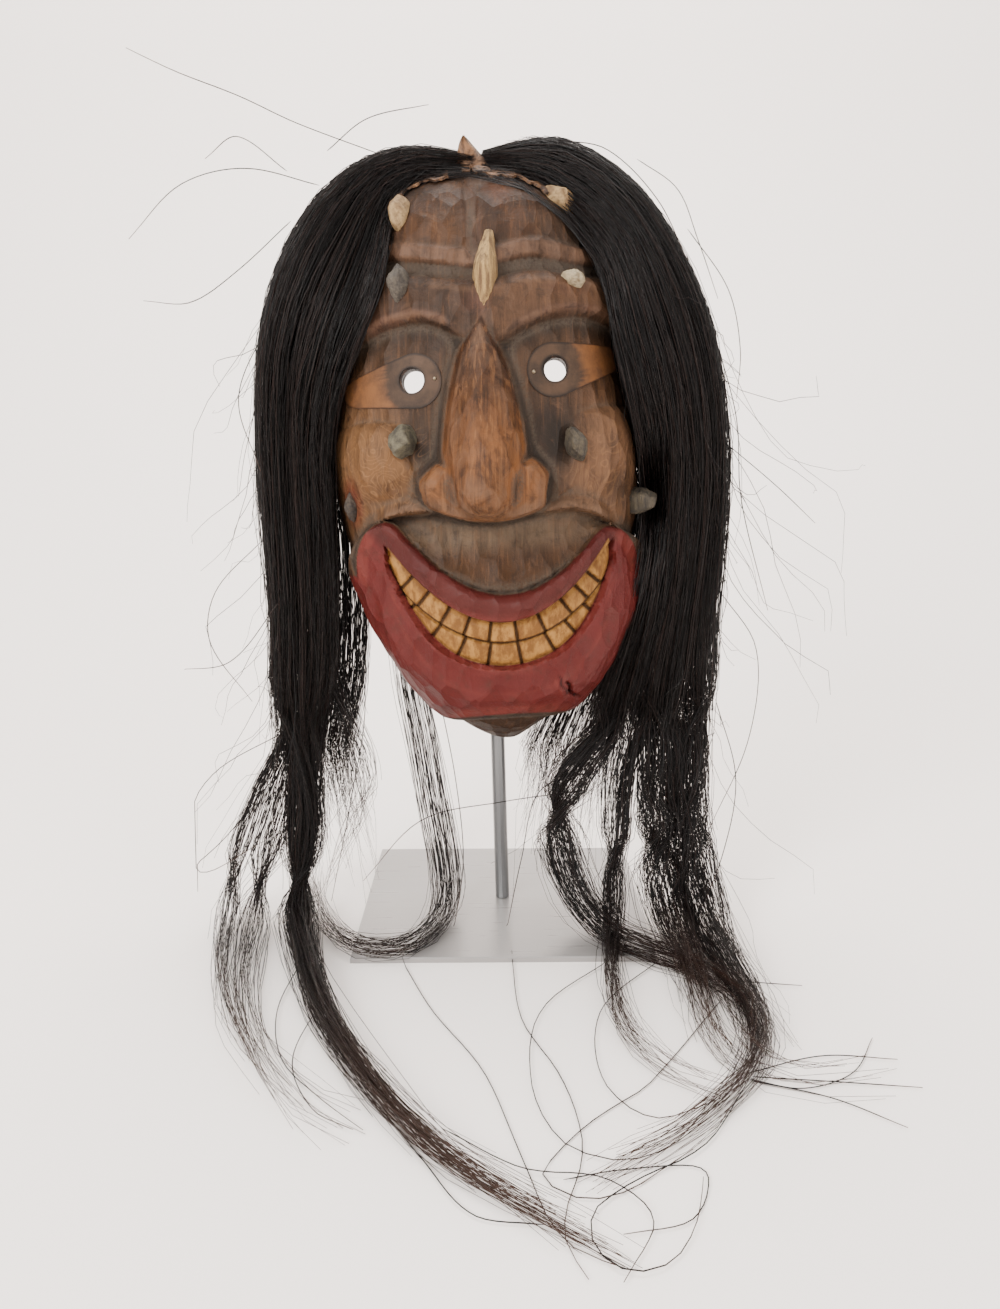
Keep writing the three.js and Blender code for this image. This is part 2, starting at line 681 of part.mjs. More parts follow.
function hairMass(levels) {
  const rings = levels.map(([z, xLeft, xRight, yFront, yBack]) => {
    const ring = [];
    for (let s = 0; s < HAIR_SIDES; s += 1) {
      const angle = (2 * Math.PI * s) / HAIR_SIDES;
      ring.push(new THREE.Vector3(
        (xLeft + xRight) / 2 + ((xRight - xLeft) / 2) * Math.cos(angle),
        (yFront + yBack) / 2 + ((yBack - yFront) / 2) * Math.sin(angle),
        z,
      ));
    }
    return ring;
  });
  return loft(rings);
}

function grownLevels(levels) {
  return levels.map(([z, xLeft, xRight, yFront, yBack], k) => {
    const end = k === 0 ? -2 * GAP : k === levels.length - 1 ? 2 * GAP : 0;
    return [z + end, xLeft - 2 * GAP, xRight + 2 * GAP, yFront - 2 * GAP, yBack + 2 * GAP];
  });
}

function lockBody(points, widths, steps, grow = 0) {
  const curve = new THREE.CatmullRomCurve3(points.map((p) => new THREE.Vector3(...p)));
  const frames = curve.computeFrenetFrames(steps, false);
  const rings = [];
  for (let k = 0; k <= steps; k += 1) {
    const share = k / steps;
    const centre = curve.getPointAt(share);
    const radius = through(widths, share) + grow;
    const ring = [];
    for (let s = 0; s < LOCK_SIDES; s += 1) {
      const angle = (2 * Math.PI * s) / LOCK_SIDES;
      const point = centre.clone();
      point.addScaledVector(frames.normals[k], radius * Math.cos(angle));
      point.addScaledVector(frames.binormals[k], radius * Math.sin(angle));
      point.z = Math.max(point.z, GAP);
      ring.push(point);
    }
    rings.push(ring);
  }
  return loft(rings);
}

// Levels as [height, left, right, front, back] from the crown down
const LEFT_MASS = [
  [HAIR_CUT, -129, -98, -26, 2], [138, -129, -89, -30, 6], [172, -128, -87, -32, 10],
  [205, -128, -87, -33, 14], [238, -130, -87, -36, 18], [265, -130, -85, -40, 20],
  [291, -129, -79, -46, 22], [317, -127, -69, -52, 24], [342, -121, -60, -54, 25],
  [362, -114, -54, -52, 25], [379, -104, -48, -46, 24], [396, -90, -34, -36, 22],
  [408, -76, -20, -27, 18], [415, -56, -19, -18, 13], [418, -44, -24, -10, 8],
];
const RIGHT_MASS = [
  [HAIR_CUT, 44, 119, -34, -2], [137, 56, 119, -32, 4], [171, 69, 119, -32, 8],
  [204, 75, 121, -33, 12], [237, 78, 123, -36, 16], [263, 75, 123, -40, 18],
  [290, 69, 120, -46, 20], [315, 61, 115, -52, 22], [336, 56, 108, -54, 24],
  [358, 48, 98, -52, 24], [378, 34, 87, -46, 24], [396, 12, 74, -37, 22],
  [408, -9, 58, -28, 18], [416, -9, 44, -20, 14], [420, 2, 28, -12, 8],
];

const LEFT_LOCKS = [
  {
    points: [
      [-119, -12, HAIR_CUT], [-132, -17, 77], [-148, -20, 38], [-156, -26, 9],
      [-148, -80, 4], [-132, -129, 3], [-116, -166, 3], [-96, -204, 2.5], [-80, -235, 2],
    ],
    widths: [[0, 4], [0.3, 3], [0.8, 2.4], [1, 1.2]],
    steps: 8,
  },
  {
    points: [
      [-117, -15, HAIR_CUT], [-124, -19, 67], [-135, -22, 34], [-139, -32, 9],
      [-132, -96, 5], [-123, -134, 4], [-112, -163, 4], [-94, -196, 3], [-73, -221, 2.5], [-57, -229, 2],
    ],
    widths: [[0, 5], [0.3, 4.4], [0.8, 3.4], [1, 1.6]],
    steps: 8,
  },
  {
    points: [
      [-112, -12, HAIR_CUT], [-112, -17, 66], [-114, -22, 34], [-114, -36, 12],
      [-102, -85, 7], [-86, -135, 6.5], [-67, -177, 6], [-49, -209, 6], [-30, -237, 5.5],
      [-12, -256, 5], [19, -282, 4], [41, -299, 2],
    ],
    widths: [[0, 9], [0.2, 7], [0.5, 6], [0.8, 4.6], [1, 1.2]],
    steps: 11,
  },
];

const INNER_LOCK = {
  points: [
    [-98, -12, 170], [-92, -12, 134], [-84, -12, 110], [-79, -13, 92], [-79, -15, 73],
    [-87, -20, 54], [-97, -24, 32], [-101, -28, 12],
  ],
  widths: [[0, 3], [0.5, 3], [1, 1.5]],
  steps: 9,
};

const CHIN_LOCK = {
  points: [
    [-84, 8, 330], [-74, 20, 290], [-66, 18, 240], [-58, 15, 180], [-52, 12, 125],
    [-46, 8, 96], [-42, 2, 72], [-36, -6, 42], [-32, -16, 16], [-34, -39, 9],
    [-45, -70, 8.5], [-60, -82, 8.5], [-78, -75, 8.5], [-98, -40, 5], [-116, 20, 3.5], [-126, 70, 3],
  ],
  widths: [[0, 4], [0.4, 4.5], [0.65, 4], [0.85, 3.2], [1, 1.5]],
  steps: 16,
};

const RIGHT_LOCKS = [
  {
    points: [
      [56, -20, HAIR_CUT], [40, -22, 84], [32, -24, 68], [32, -28, 50], [39, -38, 26],
      [50, -52, 13], [61, -70, 9], [81, -84, 7], [99, -98, 5.5], [111, -121, 5], [117, -148, 5],
      [107, -186, 5],
    ],
    widths: [[0, 7], [0.25, 6.5], [0.5, 4.5], [1, 3.6]],
    steps: 9,
  },
  {
    points: [
      [70, -18, HAIR_CUT], [64, -22, 76], [63, -30, 46], [62, -46, 20], [59, -68, 10],
      [55, -95, 6.5], [54, -142, 4.5], [61, -172, 4], [76, -196, 4], [94, -205, 4],
    ],
    widths: [[0, 7], [0.25, 6], [0.4, 4.4], [1, 2.6]],
    steps: 8,
  },
  {
    points: [
      [88, -18, HAIR_CUT], [88, -21, 70], [89, -28, 40], [90, -42, 16], [93, -85, 9],
      [92, -130, 7], [94, -165, 6], [103, -192, 5.5],
    ],
    widths: [[0, 10], [0.4, 8.5], [0.7, 6.5], [1, 4]],
    steps: 8,
  },
  {
    points: [
      [105, -18, HAIR_CUT], [103, -21, 72], [104, -28, 40], [107, -42, 16], [112, -88, 8],
      [117, -130, 6], [115, -165, 6], [103, -194, 5.5], [89, -210, 5], [72, -229, 4.5],
      [57, -240, 4], [39, -250, 3], [27, -262, 2],
    ],
    widths: [[0, 8], [0.3, 7], [0.6, 5], [0.85, 3.8], [1, 1.2]],
    steps: 10,
  },
  {
    points: [
      [114, -16, HAIR_CUT], [114, -16, 66], [115, -26, 34], [118, -50, 12],
      [116, -91, 5], [125, -130, 3.5], [131, -172, 2],
    ],
    widths: [[0, 4], [0.5, 3.2], [1, 1.5]],
    steps: 7,
  },
  {
    points: [
      [100, -188, 5], [116, -196, 4.5], [134, -196, 4], [152, -192, 3], [169, -186, 2],
    ],
    widths: [[0, 3.6], [0.5, 3], [1, 1.2]],
    steps: 5,
  },
];

// Assembly

const ROD_FOOT = new THREE.Vector3(0, 0, PLATE_THICKNESS);
const ROD_WAY = new THREE.Vector3(-Math.sin(rad(ROD_LEAN_DEG)), 0, Math.cos(rad(ROD_LEAN_DEG)));

const maskTurn = new THREE.Matrix4().makeRotationY(rad(-MASK_ROLL_DEG));
const maskPlace = maskTurn.clone().setPosition(MASK_X, RIM_Y, MASK_Z);
const maskPlaceBack = maskPlace.clone().invert();

function inWorld(body) {
  return body.transform(maskPlace.elements);
}

function standRod() {
  const foot = ROD_FOOT.clone().addScaledVector(ROD_WAY, GAP + ROD_RADIUS * Math.sin(rad(ROD_LEAN_DEG)));
  const top = ROD_FOOT.clone().addScaledVector(ROD_WAY, ROD_LENGTH);
  const cross = ROD_FOOT.clone().addScaledVector(ROD_WAY, ROD_LENGTH - CROSSBAR_BELOW_TOP);
  const ends = [-1, 1].map((side) => cross.clone().add(
    new THREE.Vector3(side * CROSSBAR_HALF_LENGTH, 0, 0),
  ));
  let body = bar(foot, top, ROD_RADIUS, 12).add(bar(ends[0], ends[1], CROSSBAR_RADIUS, 8));
  for (const end of ends) {
    const own = end.clone().applyMatrix4(maskPlaceBack);
    let clear = Infinity;
    for (let k = 0; k < 12; k += 1) {
      const angle = (2 * Math.PI * k) / 12;
      const x = own.x + PAD_RADIUS * 1.15 * Math.cos(angle);
      const z = own.z + PAD_RADIUS * 1.15 * Math.sin(angle);
      clear = Math.min(clear, hollowDepthOver(x, z));
    }
    const inner = clear - GAP;
    const padFront = new THREE.Vector3(own.x, -inner, own.z).applyMatrix4(maskPlace);
    const padBack = padFront.clone().add(new THREE.Vector3(0, PAD_THICKNESS, 0));
    const root = end.clone().sub(new THREE.Vector3(Math.sign(end.x) * CROSSBAR_RADIUS, 0, 0));
    padFront.x = root.x;
    padFront.z = root.z;
    padBack.x = root.x;
    padBack.z = root.z;
    body = body.add(bar(padBack, padFront, PAD_RADIUS, 10));
    body = body.add(bar(root, padBack.clone().lerp(padFront, 0.5), CROSSBAR_RADIUS, 8));
  }
  return body;
}

function standPlate() {
  const half = PLATE_SIDE / 2;
  const ring = (inset, z) => [[-1, -1], [1, -1], [1, 1], [-1, 1]].map(([sx, sy]) => (
    new THREE.Vector3(sx * (half - inset), sy * (half - inset), z)
  ));
  return loft([ring(0, 0), ring(0, PLATE_THICKNESS - PLATE_BEVEL), ring(PLATE_BEVEL, PLATE_THICKNESS)]);
}

const finish = (colour, roughness, metalness = 0) => new THREE.MeshStandardMaterial({
  color: colour,
  roughness,
  metalness,
});

const stoneBodies = STONES.map((stone) => stoneBody(stone, 0));
const stoneSockets = STONES.map((stone) => stoneBody(stone, 2 * GAP));

function maskBody() {
  let body = domeBody(MASK_COLUMNS, MASK_ROWS, (a, b) => facePoint(a, b));
  body = body.add(lipsBody()).subtract(teethCuts());
  body = body.subtract(domeBody(HOLLOW_COLUMNS, HOLLOW_ROWS, hollowPoint));
  for (const eye of EYES) {
    body = body.subtract(eyePlateBody(eye, 2 * GAP));
    body = body.subtract(eyeHole(eye.eye, EYE_HOLE_RADIUS));
    body = body.subtract(eyeNailBody(eye, GAP));
  }
  for (const socket of stoneSockets) body = body.subtract(socket);
  for (const x of UPPER_SLOTS) body = body.subtract(toothSlot(x, teethMiddle, teethTopEdge));
  for (const x of LOWER_SLOTS) body = body.subtract(toothSlot(x, teethBottomEdge, teethMiddle));
  return body;
}

// Space without hair in it: round the mask and its hollow, the strips, the flap and the stones
function hairClearance() {
  const grown = domeBody(10, 12, (a, b) => facePoint(a, b, HAIR_CLEARANCE));
  let body = grown.add(grown.translate([0, 4, 0]));
  body = body.add(flapBody(1));
  for (const stone of STONES) body = body.add(stoneBody(stone, 0.8));
  return inWorld(body);
}

const maskGroup = new THREE.Group();
maskPlace.decompose(maskGroup.position, maskGroup.quaternion, maskGroup.scale);

function place(parent, name, body, material) {
  const mesh = new THREE.Mesh(geometryOf(body), material);
  mesh.name = name;
  parent.add(mesh);
}

const group = new THREE.Group();
group.add(maskGroup);

place(maskGroup, 'mask', maskBody(), finish(0x6e503c, 0.55));
const stoneColours = [0xb8a884, 0xb8a884, 0xc2a878, 0x6f6a60, 0xc9c2ad, 0x8b8a72, 0x7f7d68, 0x8a8474, 0x85806c];
STONES.forEach((stone, k) => {
  place(maskGroup, stone.name, stoneBodies[k], finish(stoneColours[k], 0.85));
});
for (const eye of EYES) {
  const hole = eyeHole(eye.eye, EYE_HOLE_RADIUS - EYE_PLATE_LIP);
  const plate = eyePlateBody(eye, 0).subtract(hole).subtract(eyeNailBody(eye, GAP));
  place(maskGroup, `eye_plate_${eye.side}`, plate, finish(0x9a6f4c, 0.5, 0.6));
  place(maskGroup, `eye_nail_${eye.side}`, eyeNailBody(eye, 0), finish(0xb9b2a5, 0.35, 0.9));
}
const [leftStrip, rightStrip] = STRIPS.map((strip) => stripBody(strip));
const fitted = (body) => stoneSockets.reduce((rest, socket) => rest.subtract(socket), body);
place(maskGroup, 'rawhide_left', fitted(leftStrip), finish(0x7a5a3c, 0.8));
place(maskGroup, 'rawhide_right', fitted(rightStrip.add(flapBody(0))), finish(0x7a5a3c, 0.8));

const hairFinish = finish(0x14100f, 0.45);
const clearance = hairClearance();
const leftMass = hairMass(LEFT_MASS);
const rightMass = hairMass(RIGHT_MASS);
place(group, 'hair_left', leftMass.subtract(clearance), hairFinish);
place(group, 'hair_right', rightMass.subtract(clearance), hairFinish);

function joined(locks, grow = 0) {
  const bodies = locks.map(({ points, widths, steps }) => lockBody(points, widths, steps, grow));
  return bodies.reduce((sum, body) => sum.add(body));
}

// Everything under the masses stays a gap below their cut ends
function below(body) {
  const top = HAIR_CUT - GAP;
  return body.trimByPlane([0, 0, -1], -top);
}

place(group, 'locks_left', below(joined(LEFT_LOCKS)), hairFinish);
place(group, 'locks_right', below(joined(RIGHT_LOCKS)), hairFinish);
const leftMassGrown = hairMass(grownLevels(LEFT_MASS));
place(group, 'lock_left_inner', joined([INNER_LOCK]).subtract(leftMassGrown), hairFinish);
place(group, 'lock_behind_chin', joined([CHIN_LOCK]).subtract(leftMassGrown), hairFinish);

place(group, 'stand_plate', standPlate(), finish(0xb9b7b5, 0.25, 0.7));
place(group, 'stand_rod', standRod(), finish(0xafb4b6, 0.3, 0.8));

export default group;
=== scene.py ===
import logging
import math
from dataclasses import dataclass, field
from enum import Enum

import bpy
import numpy as np
from mathutils import Matrix, Vector


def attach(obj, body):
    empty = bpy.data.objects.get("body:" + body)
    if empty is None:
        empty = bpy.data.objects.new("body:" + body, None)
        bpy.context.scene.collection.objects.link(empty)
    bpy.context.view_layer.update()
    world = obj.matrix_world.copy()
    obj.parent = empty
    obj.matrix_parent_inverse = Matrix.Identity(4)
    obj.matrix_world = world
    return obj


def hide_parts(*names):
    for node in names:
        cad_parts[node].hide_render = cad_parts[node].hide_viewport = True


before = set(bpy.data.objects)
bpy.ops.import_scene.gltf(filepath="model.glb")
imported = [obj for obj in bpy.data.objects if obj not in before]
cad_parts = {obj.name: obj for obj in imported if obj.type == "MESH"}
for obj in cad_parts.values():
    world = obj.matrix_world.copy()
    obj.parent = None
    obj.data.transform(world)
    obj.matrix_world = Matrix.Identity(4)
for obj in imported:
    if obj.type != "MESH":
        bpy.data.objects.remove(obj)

LOG = logging.getLogger("mask")
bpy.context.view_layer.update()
MM = 0.001

# Mask measures in millimetres, in its own frame: x to the viewer's right, z up, -y forward
MASK_LOW, MASK_TOP = -4.5, 299.0
MASK_PLACE = (4.6, -7.0, 107.9)
MASK_ROLL = math.radians(3.44)
DOME_DEPTH, DOME_SQUARENESS = 62.0, 2.6
RIM_WALL, FACE_WALL, OVERSHOOT = 10.0, 15.0, 2.0
MASK_MIDDLE, MASK_HALF = (MASK_LOW + MASK_TOP) / 2, (MASK_TOP - MASK_LOW) / 2
ROW_HEIGHTS = ((0, -1), (0.08, -0.8), (0.44, -0.28), (0.75, 0.4), (1, 1))
ROW_BEND = 0.44
LEFT_WIDTHS = (
    (-1, 58), (-0.95, 62), (-0.88, 66.5), (-0.74, 73.5), (-0.55, 77.5), (-0.4, 79.5),
    (-0.2, 84), (0, 86), (0.25, 84.5), (0.5, 86), (0.75, 94), (1, 103),
)
RIGHT_WIDTHS = (
    (-1, 38), (-0.94, 45), (-0.87, 62), (-0.78, 72.5), (-0.6, 79), (-0.45, 79),
    (-0.3, 77), (-0.15, 79), (0.2, 75.8), (0.36, 75.5), (0.55, 81.5), (0.75, 87), (1, 84),
)
NOSE_X, NOSE_TOP, NOSE_BOTTOM, NOSE_TURN, NOSE_RISE = -3.0, 219.5, 121.3, 138.0, 34.0
WING_RISE, WING_LENGTH = 16.0, 16.0
NOSE_SIDES = (
    (120, -19, 12), (138.5, -24, 15.5), (150, -26.5, 19.9), (162, -25.5, 19.8),
    (180, -22.5, 17.5), (203, -15.5, 11.5), (213, -9, 6.5), (219.5, -0.6, 0),
)
MOUTH_X, LIP_TOP, TEETH_REACH = 2.0, 84.5, 57.0
TEETH_TOP, TEETH_MIDDLE, TEETH_BOTTOM, CHIN_LINE = 71.0, 60.0, 47.5, 20.5
LIP_RISE, LOWER_LIP_RISE, TEETH_RISE = 6.5, 9.0, 1.2
UPPER_SLOTS = (-46.8, -38.7, -28, -17.6, -6.1, 7, 19.9, 32.7, 40.9, 47.7)
LOWER_SLOTS = (-44.8, -33.4, -20.9, -7.2, 8.1, 23.6, 34.5, 43.9)
EYES = ((-36.0, 192.0), (34.0, 193.0))
EYE_HOLE_RADIUS, EYE_PLATE_THICKNESS, EYE_PLATE_SUNK = 6.6, 1.0, 0.5
EYE_HOLE_TRIM, EYE_HOLE_SHIFT, EYE_HOLE_LENGTH = 0.7, (0.7, -0.6), 0.09
EYE_PLATE_RADIUS, EYE_PLATE_TIP_RADIUS, EYE_PLATE_LIP = 13.2, 7.0, 0.4
CAMERA_AT = (-0.6, -613.6, 262.84)
CAMERA_DROP_DEG, CAMERA_ROLL_DEG, CAMERA_SENSOR, CAMERA_LENS = 10.5, -0.35, 36.0, 30.09
PHOTO_FOCUS, PHOTO_MIDDLE = 1094.0, (500.0, 654.5)
HAIR_PLANE = -15.0
STRANDS_AT_ONCE, FACES_PER_PIECE = 200, 195000
WOOD_DEPTH = (0.27, 0.25, 0.215)


def ramp(low: float, high: float, value: np.ndarray) -> np.ndarray:
    """Smooth step from 0 at low to 1 at high.

    Args:
        low: Value where the step starts.
        high: Value where the step ends.
        value: Values to judge.

    Returns:
        Shares from 0 to 1.
    """
    share = np.clip((value - low) / (high - low), 0.0, 1.0)
    return share * share * (3 - 2 * share)


def hump(across: np.ndarray, along: np.ndarray | float = 0.0) -> np.ndarray:
    """Round bump that is 1 at the middle and 0 from one unit out.

    Args:
        across: Distance from the middle, in units of its reach.
        along: Distance in the other direction.

    Returns:
        Heights from 0 to 1.
    """
    square = across * across + along * along
    return np.where(square < 1, (1 - np.minimum(square, 1)) ** 2, 0.0)


def through(pairs: tuple, place: np.ndarray) -> np.ndarray:
    """Smooth curve through rising (place, value) pairs.

    Args:
        pairs: The pairs, in rising order of place.
        place: Places to read the curve at.

    Returns:
        Values of the curve.
    """
    xs = np.array([p[0] for p in pairs], float)
    ys = np.array([p[1:] for p in pairs], float)
    low, high = np.maximum(np.arange(len(xs)) - 1, 0), np.minimum(np.arange(len(xs)) + 1, len(xs) - 1)
    slopes = (ys[high] - ys[low]) / (xs[high] - xs[low])[:, None]
    place = np.asarray(place, float)
    k = np.clip(np.searchsorted(xs, place, side="left") - 1, 0, len(xs) - 2)
    span = (xs[k + 1] - xs[k])[..., None]
    t = np.clip((place - xs[k])[..., None] / span, 0, 1)
    found = (
        (2 * t**3 - 3 * t**2 + 1) * ys[k] + (t**3 - 2 * t**2 + t) * slopes[k] * span
        + (3 * t**2 - 2 * t**3) * ys[k + 1] + (t**3 - t**2) * slopes[k + 1] * span
    )
    return found[..., 0] if found.shape[-1] == 1 else found


def linear(*colour: float) -> np.ndarray:
    """Linear colour for display values from 0 to 255."""
    c = np.array(colour, float) / 255
    return np.where(c <= 0.04045, c / 12.92, ((c + 0.055) / 1.055) ** 2.4)


class FaceForm:
    """The carved form of the mask as height over a rounded dome."""

    @staticmethod
    def width(side: np.ndarray, share: np.ndarray) -> np.ndarray:
        """Half width of the full oval beside the middle line.

        Args:
            side: Below zero for the viewer's left.
            share: Height from -1 at the chin to 1 at the crown.

        Returns:
            Half widths in millimetres.
        """
        held = np.clip(share, -1, 1)
        return np.where(np.asarray(side) < 0, through(LEFT_WIDTHS, held), through(RIGHT_WIDTHS, held))

    @staticmethod
    def dome(radius: np.ndarray) -> np.ndarray:
        """Share of the full depth at a distance from the middle, 1 at the rim."""
        return np.sqrt(np.maximum(1 - np.minimum(radius, 1) ** DOME_SQUARENESS, 0))

    @staticmethod
    def brow_edge(x: np.ndarray) -> np.ndarray:
        """Height of the brow's lower edge over each x."""
        left = 223 - np.where(x < -33, 0.009, np.where(x < -8, 0.0204, 0.01775)) * (x + 33) ** 2
        right = 222 - np.where(x < 45, 0.0095, 0.012) * (x - 45) ** 2
        return np.where(x < 0, left, right)

    @staticmethod
    def forehead_groove(x: np.ndarray) -> np.ndarray:
        """Height of the groove across the forehead over each x."""
        return 241 + np.where(x < -6, 0.18 * (-6 - x), 3 * hump((x - 27) / 22))

    @staticmethod
    def cheek_fold(x: np.ndarray) -> np.ndarray:
        """Height of the fold between the cheeks and the upper lip."""
        left = 128 - 0.011 * (x + 38) ** 2 * np.where(x < -38, 1, 0.45)
        return np.where(x < 0, left, 125 - np.where(x > 36, 0.018, 0.003) * (x - 36) ** 2)

    @staticmethod
    def lip_top(x: np.ndarray) -> np.ndarray:
        """Height of the lips' upper outline, closed round at the mouth's corners.

        Args:
            x: Places across the mask.

        Returns:
            Heights in millimetres.
        """
        climb = 0.0125 * (x - 4.5) ** 2
        limit = np.where(x < 4.5, 39.0, 29.5)
        share = np.clip(0.5 + (limit - climb) / 12, 0, 1)
        soft = limit + (climb - limit) * share - 6 * share * (1 - share)
        beyond = np.where(x < 0, np.maximum(-56 - x, 0), np.maximum(x - 57, 0))
        return LIP_TOP + soft - 28 * (1 - np.sqrt(np.maximum(1 - (beyond / 18) ** 2, 0)))

    @staticmethod
    def teeth_top(x: np.ndarray) -> np.ndarray:
        """Height of the teeth's upper edge."""
        return TEETH_TOP + 0.0125 * (x - MOUTH_X) ** 2

    @staticmethod
    def teeth_middle(x: np.ndarray) -> np.ndarray:
        """Height of the groove between the rows of teeth."""
        return TEETH_MIDDLE + 0.0103 * (x - MOUTH_X) ** 2

    @staticmethod
    def teeth_bottom(x: np.ndarray) -> np.ndarray:
        """Height of the teeth's lower edge."""
        return TEETH_BOTTOM + 0.0085 * (x - MOUTH_X) ** 2 + 2.4e-6 * (x - MOUTH_X) ** 4

    @staticmethod
    def chin(x: np.ndarray) -> np.ndarray:
        """Height of the lower lip's lower outline."""
        return CHIN_LINE - 0.0045 * x * x

    @classmethod
    def outside_teeth(cls, x: np.ndarray, z: np.ndarray) -> np.ndarray:
        """How far outside the band of teeth each place is, less than zero inside.

        Args:
            x: Places across the mask.
            z: Heights of the places.

        Returns:
            Distances in millimetres.
        """
        held = np.clip(x, MOUTH_X - TEETH_REACH, MOUTH_X + TEETH_REACH - 2)
        slant = 1 / np.hypot(1, 0.022 * (held - MOUTH_X))
        across = np.maximum((z - cls.teeth_top(held)) * slant, (cls.teeth_bottom(held) - z) * slant)
        beyond = np.abs(x - held)
        return np.where(beyond > 0, np.hypot(np.maximum(across, 0), beyond), across)

    @classmethod
    def nose_rise(cls, x: np.ndarray, z: np.ndarray) -> np.ndarray:
        """Height of the nose's blade and of the flange across its foot.

        Args:
            x: Places across the mask.
            z: Heights of the places.

        Returns:
            Heights over the plain dome in millimetres.
        """
        sides = through(NOSE_SIDES, z)
        half = np.maximum((sides[..., 1] - sides[..., 0]) / 2, 0.3)
        off = x - (sides[..., 0] + sides[..., 1]) / 2
        away = np.abs(off)
        bottom = NOSE_BOTTOM + 0.0085 * x * x
        down = np.clip((NOSE_TOP - z) / (NOSE_TOP - NOSE_BOTTOM), 0, 1)
        under = np.clip((NOSE_TURN - z) / (NOSE_TURN - bottom), 0, 1)
        section = (1 - np.minimum(away / half, 1) ** 2) ** 0.62
        blade = (15 + NOSE_RISE * down**0.85) * section * (1 - under**2.6) ** 0.5 - 9
        beyond = np.clip((away - 0.8 * half) / WING_LENGTH, 0, 1)
        top = 153 - 0.75 * np.maximum(away - half, 0)
        wing = WING_RISE * (1 - beyond**6) ** 0.6 * ramp(top + 1, top - 6, z)
        cut = ramp(bottom - 2.5, bottom + 2, z)
        apart = np.abs(blade - wing)
        joined = np.maximum(blade, wing) + 1.6 * np.maximum(1 - apart / 6, 0) ** 2
        return (np.maximum(joined, -9) + 9) * cut - 9

    @classmethod
    def mouth_rise(cls, x: np.ndarray, z: np.ndarray) -> np.ndarray:
        """Height of the lips and teeth.

        Args:
            x: Places across the mask.
            z: Heights of the places.

        Returns:
            Heights over the face in millimetres.
        """
        gap, row = cls.outside_teeth(x, z), z - cls.teeth_middle(x)
        inside = np.minimum(cls.lip_top(x) - z, z - cls.chin(x))
        teeth = TEETH_RISE + 1.6 * ramp(0, -4, gap) - 1.8 * hump(row / 1.3)
        teeth = teeth - 1.5 * ramp(1.0, 0.35, cls.slot_distance(x, z)) * ramp(0.3, -0.5, gap)
        ragged = 0.35 * np.sin(0.31 * x + 0.9 * np.sin(0.17 * z)) * np.sin(0.23 * z + 1)
        upper = LIP_RISE + 1.5 * hump((gap - 7) / 8) + 0.4 * ragged
        keel = 1 - np.abs(np.clip((gap - 15 - 1.2 * ragged) / 20, -1, 1))
        lower = LOWER_LIP_RISE * (0.55 + 0.5 * keel) + 0.6 * ragged
        is_upper = ramp(-3, 3, row) * ramp(TEETH_REACH + 5, TEETH_REACH - 5, np.abs(x - MOUTH_X))
        lips = lower + (upper - lower) * is_upper
        lips = lips * ramp(-0.9, 0.9, inside) - 1.2 * hump((inside - 0.6) / 3)
        return np.where(gap < 0.5, teeth + (lips - teeth) * ramp(-0.5, 0.5, gap), lips)

    @staticmethod
    def slot_distance(x: np.ndarray, z: np.ndarray) -> np.ndarray:
        """Distance to the nearest gap between two teeth of the same row.

        Args:
            x: Places across the mask.
            z: Heights of the places.

        Returns:
            Distances in millimetres.
        """
        upper = z > FaceForm.teeth_middle(x)
        rows = []
        for slots in (UPPER_SLOTS, LOWER_SLOTS):
            lines = FaceForm.slot_lines(z, slots)
            away = [np.abs(x - line) / math.hypot(1, tilt) for line, tilt in lines]
            rows.append(np.min(away, 0))
        return np.where(upper, rows[0], rows[1])

    @staticmethod
    def slot_lines(z: np.ndarray, slots: tuple) -> list:
        """Lines of the gaps between the teeth of one row, fanning out.

        Args:
            z: Heights.
            slots: Places of the gaps at the middle of the row's height.

        Returns:
            For each gap its place across at each height, and its tilt.
        """
        edge = FaceForm.teeth_top if slots is UPPER_SLOTS else FaceForm.teeth_bottom
        lines = []
        for slot in slots:
            place = np.array(float(slot))
            level, tilt = (edge(place) + FaceForm.teeth_middle(place)) / 2, 0.022 * (slot - MOUTH_X)
            lines.append((slot - tilt * (z - level), tilt))
        return lines

    @staticmethod
    def chips(x: np.ndarray, z: np.ndarray) -> np.ndarray:
        """Depth of the crack in the lower lip and of the chips under the nose.

        Args:
            x: Places across the mask.
            z: Heights of the places.

        Returns:
            Depths in millimetres.
        """
        along = np.clip((z - 29) / 11, 0, 1)
        off = x - (31.5 - 4.5 * along + 0.8 * np.sin(9 * along))
        crack = 4 * hump(off / (1.5 - 0.7 * along), np.maximum(np.abs(z - 34.5) - 5, 0) / 1.5)
        chipped = ((-20, 124.5, 2.2, 3), (-15.5, 123.5, 1.6, 2.5), (-24, 125, 1.3, 2), (26, 128, 1.2, 1.5))
        for cx, cz, size, depth in chipped:
            crack = crack + depth * hump((x - cx) / size, (z - cz) / (size * 0.7))
        return crack

